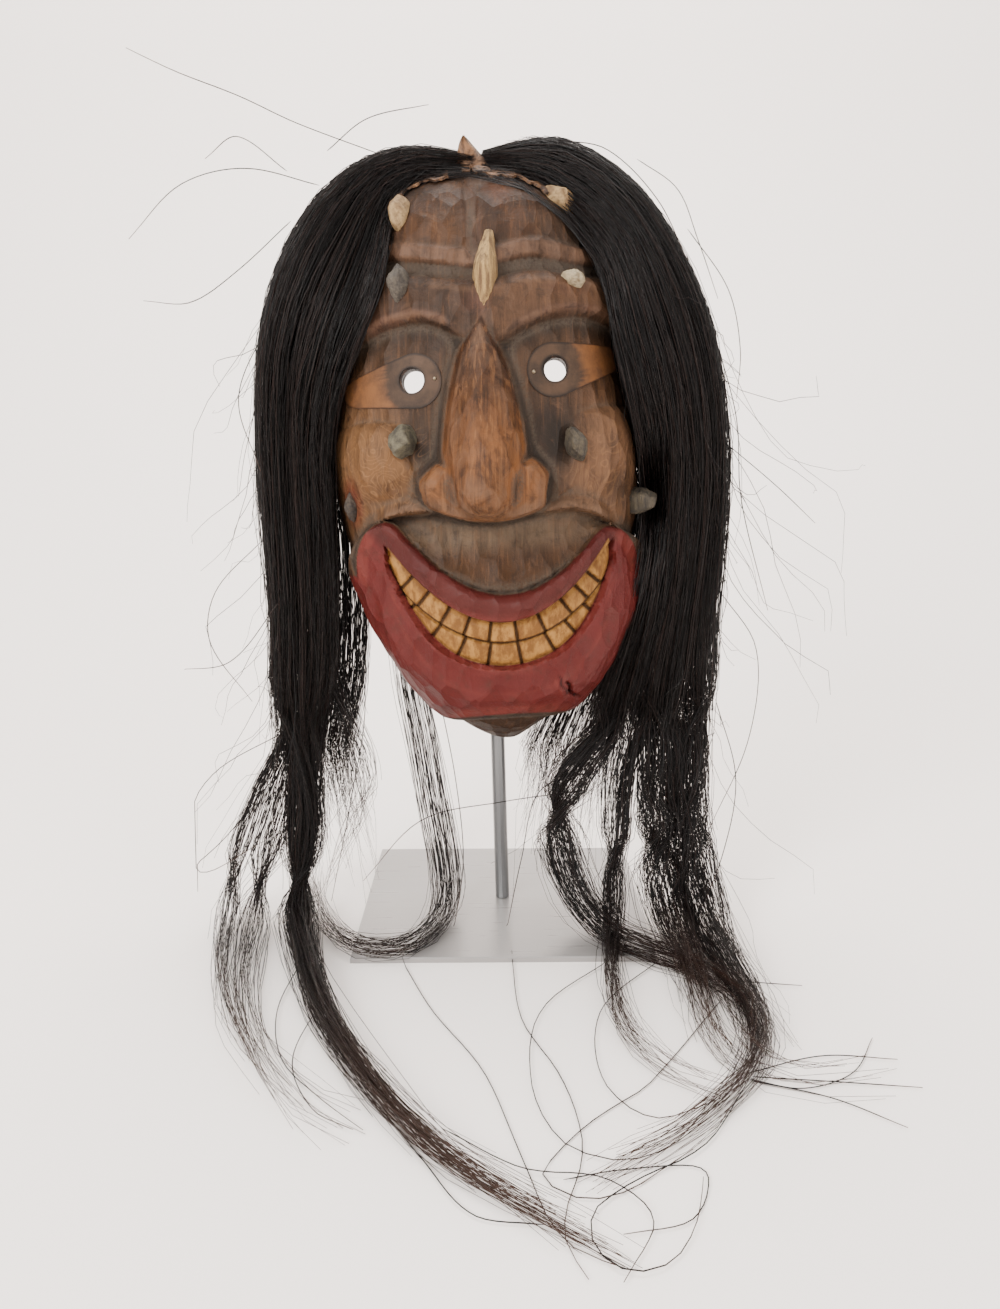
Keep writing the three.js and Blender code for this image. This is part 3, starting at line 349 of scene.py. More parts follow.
    @classmethod
    def rise(cls, x: np.ndarray, z: np.ndarray, radius: np.ndarray) -> np.ndarray:
        """Height of all the carving over the dome.

        Args:
            x: Places across the mask.
            z: Heights of the places.
            radius: Distance from the mask's middle, 1 at its rim.

        Returns:
            Heights in millimetres.
        """
        groove, edge, fold, lip = cls.forehead_groove(x), cls.brow_edge(x), cls.cheek_fold(x), cls.lip_top(x)
        forehead = 5 * (hump((x + 27) / 36, (z - 271) / 27) + hump((x - 26) / 34, (z - 269) / 27))
        forehead -= 3 * hump((x + 2) / 4.5) * ramp(244, 252, z)
        forehead -= 3 * hump((z - groove) / 5) * (1 - hump((x - 1) / 11))
        forehead += 2.5 * ramp(groove + 1, groove + 4, z) * ramp(groove + 13, groove + 9, z)
        brow = 6.5 * ramp(groove, groove - 10, z) - 14 * ramp(edge + 1, edge - 13, z) + 6 * ramp(184, 168, z)
        cheek = 8 * hump((x + 60) / 34, (z - 156) / 30) * (0.45 + 0.55 * ramp(132, 137, z))
        cheek += 8 * hump((x - 60) / 32, (z - 156) / 32) * (0.6 + 0.4 * ramp(128, 136, z))
        cheek -= 6 * hump((x + 32) / 12, (z - 162) / 19) + 9 * hump((x - 31) / 13, (z - 160) / 21)
        ridge = 3 * ramp(fold + 9, fold + 1, z) * ramp(fold - 3, fold, z)
        down = np.clip((fold - z) / np.maximum(fold - lip, 1), 0, 1)
        scoop = 6.5 * np.sin(np.pi * down**0.55)
        raised = forehead + brow + cheek + (ridge - scoop) * ramp(66, 54, np.abs(x))
        side = 1 - 0.55 * ramp(58, 82, np.abs(x))
        muzzle = 7 * hump((x - MOUTH_X) / 92, (z - 50) / 74)
        total = np.maximum(raised * side + muzzle, cls.nose_rise(x, z)) + cls.mouth_rise(x, z)
        total = total - cls.chips(x, z)
        return total * (1 - ramp(0.965, 1, radius))

    @classmethod
    def base(cls, a: np.ndarray, b: np.ndarray) -> np.ndarray:
        """Places on the plain dome for shares of its width and height.

        Args:
            a: Shares across, inside the unit circle.
            b: Shares up.

        Returns:
            Points in the mask's frame, in millimetres.
        """
        depth = DOME_DEPTH * cls.dome(np.hypot(a, b))
        return np.stack([a * cls.width(a, b), -depth, MASK_MIDDLE + MASK_HALF * b], -1)

    @classmethod
    def outward(cls, a: np.ndarray, b: np.ndarray) -> np.ndarray:
        """Outward directions of the plain dome.

        Args:
            a: Shares across, inside the unit circle.
            b: Shares up.

        Returns:
            Unit vectors.
        """
        shrink = np.minimum(1, 0.998 / np.maximum(np.hypot(a, b), 1e-6))
        a, b, step = a * shrink, b * shrink, 1e-3
        along = cls.base(a + step, b) - cls.base(a - step, b)
        up = cls.base(a, b + step) - cls.base(a, b - step)
        way = np.cross(along, up)
        return way / np.linalg.norm(way, axis=-1, keepdims=True)

    @classmethod
    def surface(cls, a: np.ndarray, b: np.ndarray, offset: float = 0.0) -> np.ndarray:
        """Places on the carved front.

        Args:
            a: Shares across, inside the unit circle.
            b: Shares up.
            offset: Distance out from the surface.

        Returns:
            Points in the mask's frame, in millimetres.
        """
        radius = np.hypot(a, b)
        point, out = cls.base(a, b), cls.outward(a, b)
        turn = ramp(0.45, 0.95, radius)[..., None]
        way = np.array([0.0, -1.0, 0.0]) * (1 - turn) + out * turn
        way /= np.linalg.norm(way, axis=-1, keepdims=True)
        return point + way * cls.rise(point[..., 0], point[..., 2], radius)[..., None] + out * offset

    @classmethod
    def over(cls, x: np.ndarray, z: np.ndarray, offset: float = 0.0) -> np.ndarray:
        """Places on the carved front over the mask's own x and z.

        Args:
            x: Places across the mask.
            z: Heights of the places.
            offset: Distance out from the surface.

        Returns:
            Points in the mask's frame, in millimetres.
        """
        b = (z - MASK_MIDDLE) / MASK_HALF
        return cls.surface(x / cls.width(x, b), b, offset)

    @classmethod
    def hollow(cls, a: np.ndarray, b: np.ndarray) -> np.ndarray:
        """Places on the inside of the mask, its rim a little behind the wooden rim.

        Args:
            a: Shares across, inside the unit circle.
            b: Shares up.

        Returns:
            Points in the mask's frame, in millimetres.
        """
        x = a * (cls.width(a, b) - RIM_WALL)
        z = MASK_MIDDLE + (MASK_HALF - RIM_WALL) * b
        nose = 15 * hump((x - NOSE_X) / 17, (z - 158) / 52)
        jaw = 5 * hump((x - MOUTH_X) / 60, (z - 50) / 50)
        depth = (DOME_DEPTH - FACE_WALL + OVERSHOOT + nose + jaw) * cls.dome(np.hypot(a, b))
        return np.stack([x, OVERSHOOT - depth, z], -1)

    @staticmethod
    def to_world(points: np.ndarray) -> np.ndarray:
        """Points of the mask's frame in the row frame, still in millimetres."""
        c, s = math.cos(MASK_ROLL), math.sin(MASK_ROLL)
        x, y, z = points[..., 0], points[..., 1], points[..., 2]
        return np.stack([MASK_PLACE[0] + x * c - z * s, MASK_PLACE[1] + y, MASK_PLACE[2] + x * s + z * c], -1)

    @staticmethod
    def from_world(points: np.ndarray) -> np.ndarray:
        """Points of the row frame in the mask's frame, in millimetres."""
        c, s = math.cos(MASK_ROLL), math.sin(MASK_ROLL)
        x, y, z = (points[..., k] - MASK_PLACE[k] for k in range(3))
        return np.stack([x * c + z * s, y, -x * s + z * c], -1)


class Shader:
    """One node material, built up step by step."""

    def __init__(self, name: str) -> None:
        """Starts an empty material with a Principled surface.

        Args:
            name: The material's name.
        """
        self.material = bpy.data.materials.new(name)
        self.material.use_nodes = True
        self.tree = self.material.node_tree
        self.tree.nodes.clear()
        self.surface = self.tree.nodes.new("ShaderNodeBsdfPrincipled")
        output = self.tree.nodes.new("ShaderNodeOutputMaterial")
        self.tree.links.new(self.surface.outputs[0], output.inputs[0])
        self.place = self.tree.nodes.new("ShaderNodeTexCoord").outputs["Object"]

    def give(self, socket: bpy.types.NodeSocket, value: object) -> None:
        """Sets a socket to a constant or links it to another node's output.

        Args:
            socket: The input to set.
            value: A socket, number, or colour.
        """
        if isinstance(value, bpy.types.NodeSocket):
            self.tree.links.new(value, socket)
        elif isinstance(value, (int, float)):
            socket.default_value = value
        else:
            values = [float(v) for v in value]
            lacks_alpha = len(values) == 3 and len(socket.default_value) == 4
            socket.default_value = values + [1.0] if lacks_alpha else values

    def add(self, kind: str, inputs: dict, **settings: object) -> bpy.types.Node:
        """Adds a node.

        Args:
            kind: The node's type without its common prefix.
            inputs: Values or sockets by input name or number.
            **settings: Properties of the node.

        Returns:
            The new node.
        """
        node = self.tree.nodes.new("ShaderNode" + kind)
        for name, value in settings.items():
            setattr(node, name, value)
        for name, value in inputs.items():
            self.give(node.inputs[name], value)
        return node

    def set(self, **inputs: object) -> None:
        """Sets the surface's own inputs, underscores standing for spaces.

        Args:
            **inputs: Values or sockets by input name.
        """
        for name, value in inputs.items():
            self.give(self.surface.inputs[name.replace("_", " ")], value)

    def attribute(self, name: str, colour: bool = False) -> bpy.types.NodeSocket:
        """Reads a mesh attribute as a number, or as a colour."""
        node = self.add("Attribute", {}, attribute_name=name)
        return node.outputs["Color" if colour else "Fac"]

    def math(self, operation: str, first: object, second: object = 0.0) -> bpy.types.NodeSocket:
        """Arithmetic on two values."""
        return self.add("Math", {0: first, 1: second}, operation=operation).outputs[0]

    def step(self, value: object, low: float, high: float) -> bpy.types.NodeSocket:
        """Smooth step of a value from 0 at low to 1 at high.

        Args:
            value: The socket to judge.
            low: Where the step starts.
            high: Where it ends.

        Returns:
            The step's output.
        """
        turned = low > high
        inputs = {"Value": value, "From Min": min(low, high), "From Max": max(low, high)}
        inputs.update({"To Min": 1.0 if turned else 0.0, "To Max": 0.0 if turned else 1.0})
        return self.add("MapRange", inputs, interpolation_type="SMOOTHSTEP").outputs[0]

    def stretched(self, scale: tuple) -> bpy.types.NodeSocket:
        """Object coordinates scaled along each axis."""
        return self.add("Mapping", {"Vector": self.place, "Scale": scale}).outputs[0]

    def noise(self, scale: float, detail: float = 3.0, rough: float = 0.55,
              stretch: tuple = (1, 1, 1), twist: float = 0.0) -> bpy.types.NodeSocket:
        """Noise over the object's place.

        Args:
            scale: Features per metre.
            detail: Octaves.
            rough: Strength of the finer octaves.
            stretch: Scale along each axis.
            twist: Distortion.

        Returns:
            A number near 0.5.
        """
        inputs = {"Vector": self.stretched(stretch), "Scale": scale, "Detail": detail}
        return self.add("TexNoise", {**inputs, "Roughness": rough, "Distortion": twist}).outputs[0]

    def mix(self, share: object, first: object, second: object, way: str = "MIX") -> bpy.types.NodeSocket:
        """Mixes two colours.

        Args:
            share: How much of the second.
            first: The first colour.
            second: The second colour.
            way: The blend type.

        Returns:
            The mixed colour.
        """
        node = self.tree.nodes.new("ShaderNodeMix")
        node.data_type, node.blend_type = "RGBA", way
        self.give(node.inputs[0], share)
        self.give(node.inputs[6], first)
        self.give(node.inputs[7], second)
        return node.outputs[2]

    def bump(self, height: object, strength: float, distance: float,
             under: object = None) -> bpy.types.NodeSocket:
        """Bumps the surface by a height.

        Args:
            height: The height's socket.
            strength: Share of the effect.
            distance: Height of one unit, in metres.
            under: Normal of another bump below this one.

        Returns:
            The bumped normal.
        """
        node = self.add("Bump", {"Height": height, "Strength": strength, "Distance": distance})
        if under is not None:
            self.give(node.inputs["Normal"], under)
        return node.outputs[0]


class Shaping:
    """Ways to make meshes and keep them tidy."""

    @staticmethod
    def alone(obj: bpy.types.Object) -> None:
        """Makes one object the only selected and active one."""
        bpy.ops.object.select_all(action="DESELECT")
        obj.select_set(True)
        bpy.context.view_layer.objects.active = obj

    @classmethod
    def grid_dome(cls, name: str, points: np.ndarray) -> bpy.types.Object:
        """Closed dome from a grid of points, flat behind.

        Args:
            name: The object's name.
            points: Rows by columns of points, in metres.

        Returns:
            The new object.
        """
        rows, columns = points.shape[:2]
        bpy.ops.object.select_all(action="DESELECT")
        bpy.ops.mesh.primitive_grid_add(x_subdivisions=columns - 1, y_subdivisions=rows - 1, size=2)
        obj = bpy.context.active_object
        obj.name = name
        obj.data.vertices.foreach_set("co", points.reshape(-1).astype(np.float32))
        obj.data.update()
        bpy.ops.object.mode_set(mode="EDIT")
        bpy.ops.mesh.select_mode(type="EDGE")
        bpy.ops.mesh.select_all(action="DESELECT")
        bpy.ops.mesh.select_non_manifold()
        bpy.ops.mesh.edge_face_add()
        bpy.ops.mesh.select_all(action="SELECT")
        bpy.ops.mesh.normals_make_consistent(inside=False)
        bpy.ops.object.mode_set(mode="OBJECT")
        return obj

    @classmethod
    def cut(cls, obj: bpy.types.Object, tool: bpy.types.Object) -> None:
        """Cuts one closed mesh out of another and removes the tool.

        Args:
            obj: The mesh that is cut.
            tool: The mesh that cuts.
        """
        cls.alone(obj)
        modifier = obj.modifiers.new("cut", "BOOLEAN")
        modifier.operation, modifier.object, modifier.solver = "DIFFERENCE", tool, "MANIFOLD"
        bpy.ops.object.modifier_apply(modifier="cut")
        bpy.data.objects.remove(tool)

    @staticmethod
    def mesh(name: str, points: np.ndarray, faces: list) -> bpy.types.Object:
        """Object from points and faces of mixed sizes.

        Args:
            name: The object's name.
            points: Points in metres.
            faces: Arrays of point numbers, one array for each face size.

        Returns:
            The new object.
        """
        data = bpy.data.meshes.new(name)
        data.vertices.add(len(points))
        data.vertices.foreach_set("co", np.ascontiguousarray(points, np.float32).reshape(-1))
        sizes = np.concatenate([np.full(len(f), f.shape[1]) for f in faces]).astype(np.int32)
        loops = np.concatenate([f.reshape(-1) for f in faces]).astype(np.int32)
        data.loops.add(len(loops))
        data.loops.foreach_set("vertex_index", loops)
        data.polygons.add(len(sizes))
        data.polygons.foreach_set("loop_start", (np.cumsum(sizes) - sizes).astype(np.int32))
        data.polygons.foreach_set("loop_total", sizes)
        data.update(calc_edges=True)
        data.validate()
        obj = bpy.data.objects.new(name, data)
        bpy.context.scene.collection.objects.link(obj)
        return obj

    @staticmethod
    def vertices(obj: bpy.types.Object) -> np.ndarray:
        """Points of a mesh in millimetres."""
        co = np.empty(len(obj.data.vertices) * 3, np.float32)
        obj.data.vertices.foreach_get("co", co)
        return co.reshape(-1, 3).astype(float) / MM

    @staticmethod
    def store(obj: bpy.types.Object, name: str, values: np.ndarray) -> None:
        """Keeps a number or a colour for each point of a mesh.

        Args:
            obj: The mesh object.
            name: The attribute's name.
            values: One number or three for each point.
        """
        if values.ndim == 1:
            layer = obj.data.attributes.new(name, "FLOAT", "POINT")
            layer.data.foreach_set("value", values.astype(np.float32))
            return
        layer = obj.data.attributes.new(name, "FLOAT_COLOR", "POINT")
        full = np.concatenate([values, np.ones((len(values), 1))], 1)
        layer.data.foreach_set("color", full.astype(np.float32).reshape(-1))

    @classmethod
    def smooth(cls, obj: bpy.types.Object, degrees: float) -> None:
        """Smooth shading up to an angle."""
        cls.alone(obj)
        bpy.ops.object.shade_smooth_by_angle(angle=math.radians(degrees))

    @staticmethod
    def belong(obj: bpy.types.Object, slot: str, *nodes: str) -> None:
        """Ties a piece to the part: its body and what it stands for.

        Args:
            obj: The piece.
            slot: A material slot name, not used.
            *nodes: CAD nodes that it stands for.
        """
        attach(obj, "root")
        if nodes:
            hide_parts(*nodes)


@dataclass(frozen=True)
class Patch:
    """A soft oval of colour on the face."""

    x: float
    z: float
    wide: float
    tall: float
    colour: tuple
    strength: float


FACE_PATCHES = (
    Patch(-28, 272, 46, 34, (92, 63, 45), 0.9),
    Patch(30, 270, 44, 32, (76, 53, 38), 0.9),
    Patch(-22, 262, 20, 12, (124, 86, 58), 0.6),
    Patch(20, 268, 12, 22, (118, 80, 54), 0.6),
    Patch(-2, 266, 6, 30, (128, 98, 86), 0.7),
    Patch(-48, 206, 34, 22, (104, 78, 60), 0.5),
    Patch(40, 208, 34, 22, (108, 82, 64), 0.5),
    Patch(34, 226, 26, 12, (146, 108, 84), 0.7),
    Patch(-34, 230, 30, 10, (102, 76, 62), 0.6),
    Patch(-60, 192, 22, 15, (124, 88, 60), 0.55),
    Patch(60, 193, 22, 15, (132, 94, 64), 0.55),
    Patch(-60, 152, 36, 34, (184, 136, 94), 0.95),
    Patch(-66, 128, 24, 30, (152, 108, 73), 0.6),
    Patch(62, 146, 30, 40, (178, 134, 104), 0.9),
    Patch(-31, 166, 17, 26, (80, 66, 57), 0.9),
    Patch(31, 162, 18, 28, (70, 58, 52), 0.95),
    Patch(-34, 192, 20, 18, (92, 76, 64), 0.4),
    Patch(33, 193, 20, 18, (92, 76, 64), 0.4),
    Patch(2, 116, 62, 14, (160, 138, 118), 0.9),
    Patch(2, 96, 52, 16, (100, 68, 42), 0.85),
    Patch(0, 4, 46, 18, (84, 57, 38), 0.9),
    Patch(-2, 230, 12, 26, (124, 92, 80), 0.6),
    Patch(-73, 134, 7, 15, (140, 54, 48), 0.85),
    # Painted shadow: the next two dark ovals darken the pits beside the cheek stones.
    Patch(-34, 160, 9, 11, (52, 42, 36), 0.9),
    Patch(35, 158, 9, 13, (46, 38, 32), 0.9),
    Patch(37, 233, 8, 9, (48, 38, 34), 0.8),
    Patch(66, 132, 8, 12, (74, 60, 52), 0.7),
    # Painted shade: this dark oval darkens the underside of the left brow.
    Patch(-24, 222, 10, 6, (56, 46, 42), 0.5),
    Patch(-44, 285, 26, 12, (96, 82, 76), 0.7),
    Patch(12, 284, 9, 12, (136, 82, 52), 0.7),
    Patch(44, 262, 14, 22, (98, 84, 78), 0.6),
    Patch(-2, 226, 9, 7, (150, 104, 100), 0.8),
    Patch(-52, 222, 22, 10, (142, 98, 82), 0.6),
    Patch(-30, 146, 9, 7, (126, 74, 66), 0.5),
    Patch(43, 232, 14, 6, (140, 92, 82), 0.6),
)


class MaskPaint:
    """Colours of the carved face, worked out for each of its points."""

    def __init__(self, points: np.ndarray, backward: np.ndarray) -> None:
        """Splits points into the places that the colours need.

        Args:
            points: Points in the row frame, in millimetres.
            backward: How far each point's normal turns to the back.
        """
        own = FaceForm.from_world(points)
        self.x, self.y, self.z = own[:, 0], own[:, 1], own[:, 2]
        b = (self.z - MASK_MIDDLE) / MASK_HALF
        self.radius = np.hypot(self.x / FaceForm.width(self.x, b), b)
        depth = DOME_DEPTH * FaceForm.dome(self.radius)
        self.front = ramp(depth * 0.9 - 12, depth * 0.9 - 9, -self.y) * ramp(1.5, 3.5, -self.y)
        self.front = self.front * ramp(0.5, 0.2, backward)

    def cavity(self) -> np.ndarray:
        """How deep each point lies among its neighbours, over zero in grooves."""
        total = np.zeros_like(self.x)
        for reach in (3.0, 7.0):
            for k in range(8):
                angle = math.pi * k / 4
                x, z = self.x + reach * math.cos(angle), self.z + reach * math.sin(angle)
                total += FaceForm.rise(x, z, self.radius) / 8
        deep = (total / 2 - FaceForm.rise(self.x, self.z, self.radius)) * self.front
        return deep * (1 - 0.85 * ramp(66, 54, np.abs(self.x)) * np.sqrt(hump((self.z - 108) / 17)))

    def wood(self) -> np.ndarray:
        """Base colours of the wood, with painted shade in some recesses and a painted highlight on the
        forehead ridge.

        Returns:
            Linear colours, one for each point.
        """
        x, z = self.x, self.z
        colour = np.tile(linear(112, 84, 66), (len(x), 1))

        def lay(share: np.ndarray, *rgb: float) -> None:
            """Mixes a colour in by a share for each point."""
            colour[:] = colour + (linear(*rgb) - colour) * np.clip(share, 0, 1)[:, None]

        for patch in FACE_PATCHES:
            share = hump((x - patch.x) / patch.wide, (z - patch.z) / patch.tall)
            lay(patch.strength * np.sqrt(share), *patch.colour)
        groove, edge = FaceForm.forehead_groove(x), FaceForm.brow_edge(x)
        # Painted highlight: the pale pink band lights the raised ridge just above the forehead groove.
        lay(0.6 * ramp(groove + 2, groove + 4, z) * ramp(groove + 14, groove + 10, z), 172, 136, 118)
        # Painted shade: grey darkening along the forehead groove.
        lay(0.8 * hump((z - groove) / 5), 96, 84, 78)
        brow = ramp(edge - 1, edge + 3, z) * ramp(groove - 2, groove - 8, z)
        lay(0.75 * brow * ramp(5, -5, x), 90, 68, 55)
        lay(0.7 * brow * ramp(-5, 5, x), 138, 103, 80)
        lay(0.7 * hump((z - edge) / 3.5) * ramp(10, 20, np.abs(x)), 132, 98, 86)
        # Painted shade: dark band on the down-facing surface under the brows.
        lay(0.8 * hump((z - edge + 8) / 9), 66, 54, 47)
        nose = FaceForm.nose_rise(x, z)
        lay(0.95 * ramp(1, 6, nose), 188, 126, 80)
        lay(0.95 * ramp(1, 6, nose) * ramp(148, 198, z), 84, 54, 35)
        lay(0.5 * ramp(1, 6, nose) * hump((x + 16) / 12, (z - 150) / 60), 124, 80, 52)
        lay(0.6 * hump((nose - 3) / 4) * (nose > 0.3), 104, 74, 54)
        fold = FaceForm.cheek_fold(x)
        lay(0.6 * hump((z - fold - 3) / 6) * ramp(70, 56, np.abs(x)), 128, 100, 80)
        lay(ramp(0.9, 0.99, self.radius) * 0.45, 88, 64, 48)
        lay(1 - self.front, 122, 92, 66)
        eyes = [np.hypot(x - ex, z - ez) for ex, ez in EYES]
        # Painted shade: the walls inside the eye holes are darkened.
        lay(ramp(EYE_HOLE_RADIUS + 0.9, EYE_HOLE_RADIUS + 0.5, np.minimum(*eyes)), 44, 32, 26)
        return colour * np.array(WOOD_DEPTH)

    def nose(self) -> np.ndarray:
        """Share of the nose's blade at each point."""
        return ramp(1, 6, FaceForm.nose_rise(self.x, self.z)) * self.front

    def figure(self) -> np.ndarray:
        """How plainly the wood's growth rings show at each point."""
        left = np.sqrt(hump((self.x + 60) / 36, (self.z - 148) / 38))
        right = np.sqrt(hump((self.x - 62) / 30, (self.z - 142) / 34))
        return np.maximum(left, 0.6 * right) * self.front

    def teeth(self) -> np.ndarray:
        """Signed distance outside the band of teeth, large off the front."""
        return FaceForm.outside_teeth(self.x, self.z) + 60 * (1 - self.front)

    def lips(self) -> np.ndarray:
        """Distance inside the lips' outline, below zero outside it."""
        inside = np.minimum(FaceForm.lip_top(self.x) - self.z, self.z - FaceForm.chin(self.x))
        return inside - 60 * (1 - self.front)

    def slot(self) -> np.ndarray:
        """Distance to the nearest gap between teeth."""
        return FaceForm.slot_distance(self.x, self.z)

    def tooth(self) -> np.ndarray:
        """A shade from 0 to 1 for each tooth."""
        row = self.z - FaceForm.teeth_middle(self.x)
        upper = sum((self.x > line).astype(int) for line, _ in FaceForm.slot_lines(self.z, UPPER_SLOTS))
        lower = sum((self.x > line).astype(int) for line, _ in FaceForm.slot_lines(self.z, LOWER_SLOTS))
        return (np.where(row > 0, upper, lower + 20) * 0.618) % 1

    def tooth_row(self) -> np.ndarray:
        """Height over the groove between the rows of teeth."""
        return self.z - FaceForm.teeth_middle(self.x)


class WoodFinish:
    """Worn carved wood with painted lips and teeth, painted shade in its hollows and painted highlights on
    its raised edges.
    """

    def build(self) -> bpy.types.Material:
        """Makes the material.

        Returns:
            The material.
        """
        s = Shader("carved_wood")
        paint, cavity = s.attribute("paint", colour=True), s.attribute("cavity")
        teeth, lips, tooth = (s.attribute(n) for n in ("teeth", "lips", "tooth"))
        between, row = s.attribute("slot"), s.attribute("tooth_row")
        nose, figure = s.attribute("nose"), s.attribute("figure")
        grain = s.noise(260, 5, 0.62, (1, 1, 0.1), 0.3)
        scratch = s.noise(620, 3, 0.6, (1, 0.3, 0.03), 0.3)
        rings = s.noise(34, 2, 0.45, (1.3, 1, 0.8), 0.5)
        lines = s.math("SINE", s.math("MULTIPLY", rings, 150.0))
        blotch = s.noise(34, 5, 0.6)
        stain = s.noise(75, 6, 0.68, twist=0.6)
        fine = s.noise(900, 4, 0.7)
        wood = s.mix(s.math("MULTIPLY", s.step(grain, 0.42, 0.7), 0.5), paint, linear(24, 17, 13))
        wood = s.mix(s.math("MULTIPLY", s.step(blotch, 0.5, 0.72), 0.4), wood, linear(30, 22, 17))
        wood = s.mix(s.math("MULTIPLY", s.step(blotch, 0.5, 0.3), 0.25), wood, linear(74, 52, 35))
        wood = s.mix(s.math("MULTIPLY", s.step(stain, 0.52, 0.66), 0.45), wood, linear(26, 20, 16))
        wood = s.mix(s.math("MULTIPLY", s.step(stain, 0.44, 0.34), 0.3), wood, linear(84, 61, 45))
        ringed = s.math("MULTIPLY", s.step(lines, 0.7, 1.0), s.math("MULTIPLY", figure, 0.4))
        wood = s.mix(ringed, wood, linear(126, 92, 62))
        share = s.math("ADD", s.math("MULTIPLY", nose, 0.22), 0.12)
        worn = s.math("MULTIPLY", s.step(scratch, 0.54, 0.66), share)
        wood = s.mix(worn, wood, linear(118, 80, 50))
        share = s.math("ADD", s.math("MULTIPLY", nose, 0.35), 0.15)
        cuts = s.math("MULTIPLY", s.step(scratch, 0.46, 0.34), share)
        wood = s.mix(cuts, wood, linear(26, 17, 12))
        dust = s.math("MULTIPLY", s.step(cavity, 0.2, 1.4), s.step(fine, 0.3, 0.62))
        wood = s.mix(s.math("MULTIPLY", dust, 0.75), wood, linear(66, 58, 50))
        # Painted shade: the deepest hollows are darkened.
        wood = s.mix(s.math("MULTIPLY", s.step(cavity, 1.3, 3.4), 0.6), wood, linear(18, 14, 12))
        # Painted highlight: raised edges, where cavity is below zero, are lightened in patches.
        edge = s.math("MULTIPLY", s.step(cavity, -0.5, -1.5), s.step(stain, 0.62, 0.42))
        wood = s.mix(s.math("MULTIPLY", edge, 0.4), wood, linear(96, 72, 55))
        wear = s.math("MULTIPLY", s.step(s.noise(120, 6, 0.7), 0.5, 0.7), 0.55)
        red = s.mix(s.noise(45, 4), linear(62, 19, 17), linear(82, 28, 25))
        # Painted highlight: the raised facets of the lips are lightened.
        red = s.mix(s.step(cavity, -0.25, -1.4), red, linear(86, 35, 30))
        # Painted shade: the red darkens in the hollows of the lips.
        red = s.mix(s.math("MULTIPLY", s.step(cavity, 0.3, 2.0), 0.75), red, linear(32, 15, 13))
        red = s.mix(wear, red, linear(58, 28, 22))
        above = s.math("MULTIPLY", s.step(row, 9, 17), s.step(row, 40, 30))
        red = s.mix(s.math("MULTIPLY", above, 0.6), red, linear(44, 14, 12))
        mottle = s.step(s.noise(240, 5, 0.65, (1, 1, 0.5)), 0.38, 0.62)
        ivory = s.mix(mottle, linear(98, 64, 29), linear(140, 100, 50))
        ivory = s.mix(s.math("MULTIPLY", tooth, 0.3), ivory, linear(98, 64, 28))
        # Painted shade: the teeth darken towards the gaps between them and towards the lips' edges.
        near = s.math("MINIMUM", between, s.math("MULTIPLY", teeth, -1.0))
        ivory = s.mix(s.math("MULTIPLY", s.step(near, 2.2, 0.4), 0.5), ivory, linear(76, 46, 20))
        cut = s.math("MAXIMUM", s.step(between, 1.2, 0.5), s.step(s.math("ABSOLUTE", row), 1.1, 0.3))
        ivory = s.mix(s.math("MULTIPLY", cut, 0.85), ivory, linear(44, 28, 15))
        jitter = s.math("MULTIPLY", s.math("SUBTRACT", s.noise(200, 3), 0.5), 1.6)
        on_lips = s.step(s.math("ADD", lips, jitter), -0.35, 0.35)
        colour = s.mix(on_lips, wood, red)
        colour = s.mix(s.step(teeth, 0.25, -0.25), colour, ivory)
        s.set(Base_Color=colour)
        dull = s.math("ADD", s.math("MULTIPLY", fine, 0.3), 0.4)
        dull = s.math("ADD", dull, s.math("MULTIPLY", dust, 0.3))
        s.set(Roughness=s.math("SUBTRACT", dull, s.math("MULTIPLY", on_lips, 0.06)))
        s.surface.inputs["Specular IOR Level"].default_value = 0.14
        marks = s.add("Mapping", {"Vector": s.place, "Scale": (1, 1, 0.62), "Rotation": (0, 0.35, 0)})
        tool_cuts = {"Vector": marks.outputs[0], "Scale": 105, "Randomness": 0.9}
        cells = s.add("TexVoronoi", tool_cuts, feature="F1").outputs[0]
        bowls = s.math("MULTIPLY", s.math("POWER", cells, 2.0), s.step(teeth, -0.4, 0.4))
        normal = s.bump(bowls, 0.65, 0.0046)
        normal = s.bump(grain, 0.35, 0.0009, normal)
        normal = s.bump(stain, 0.5, 0.002, normal)
        normal = s.bump(fine, 0.25, 0.0003, normal)
        s.set(Normal=normal)
        return s.material


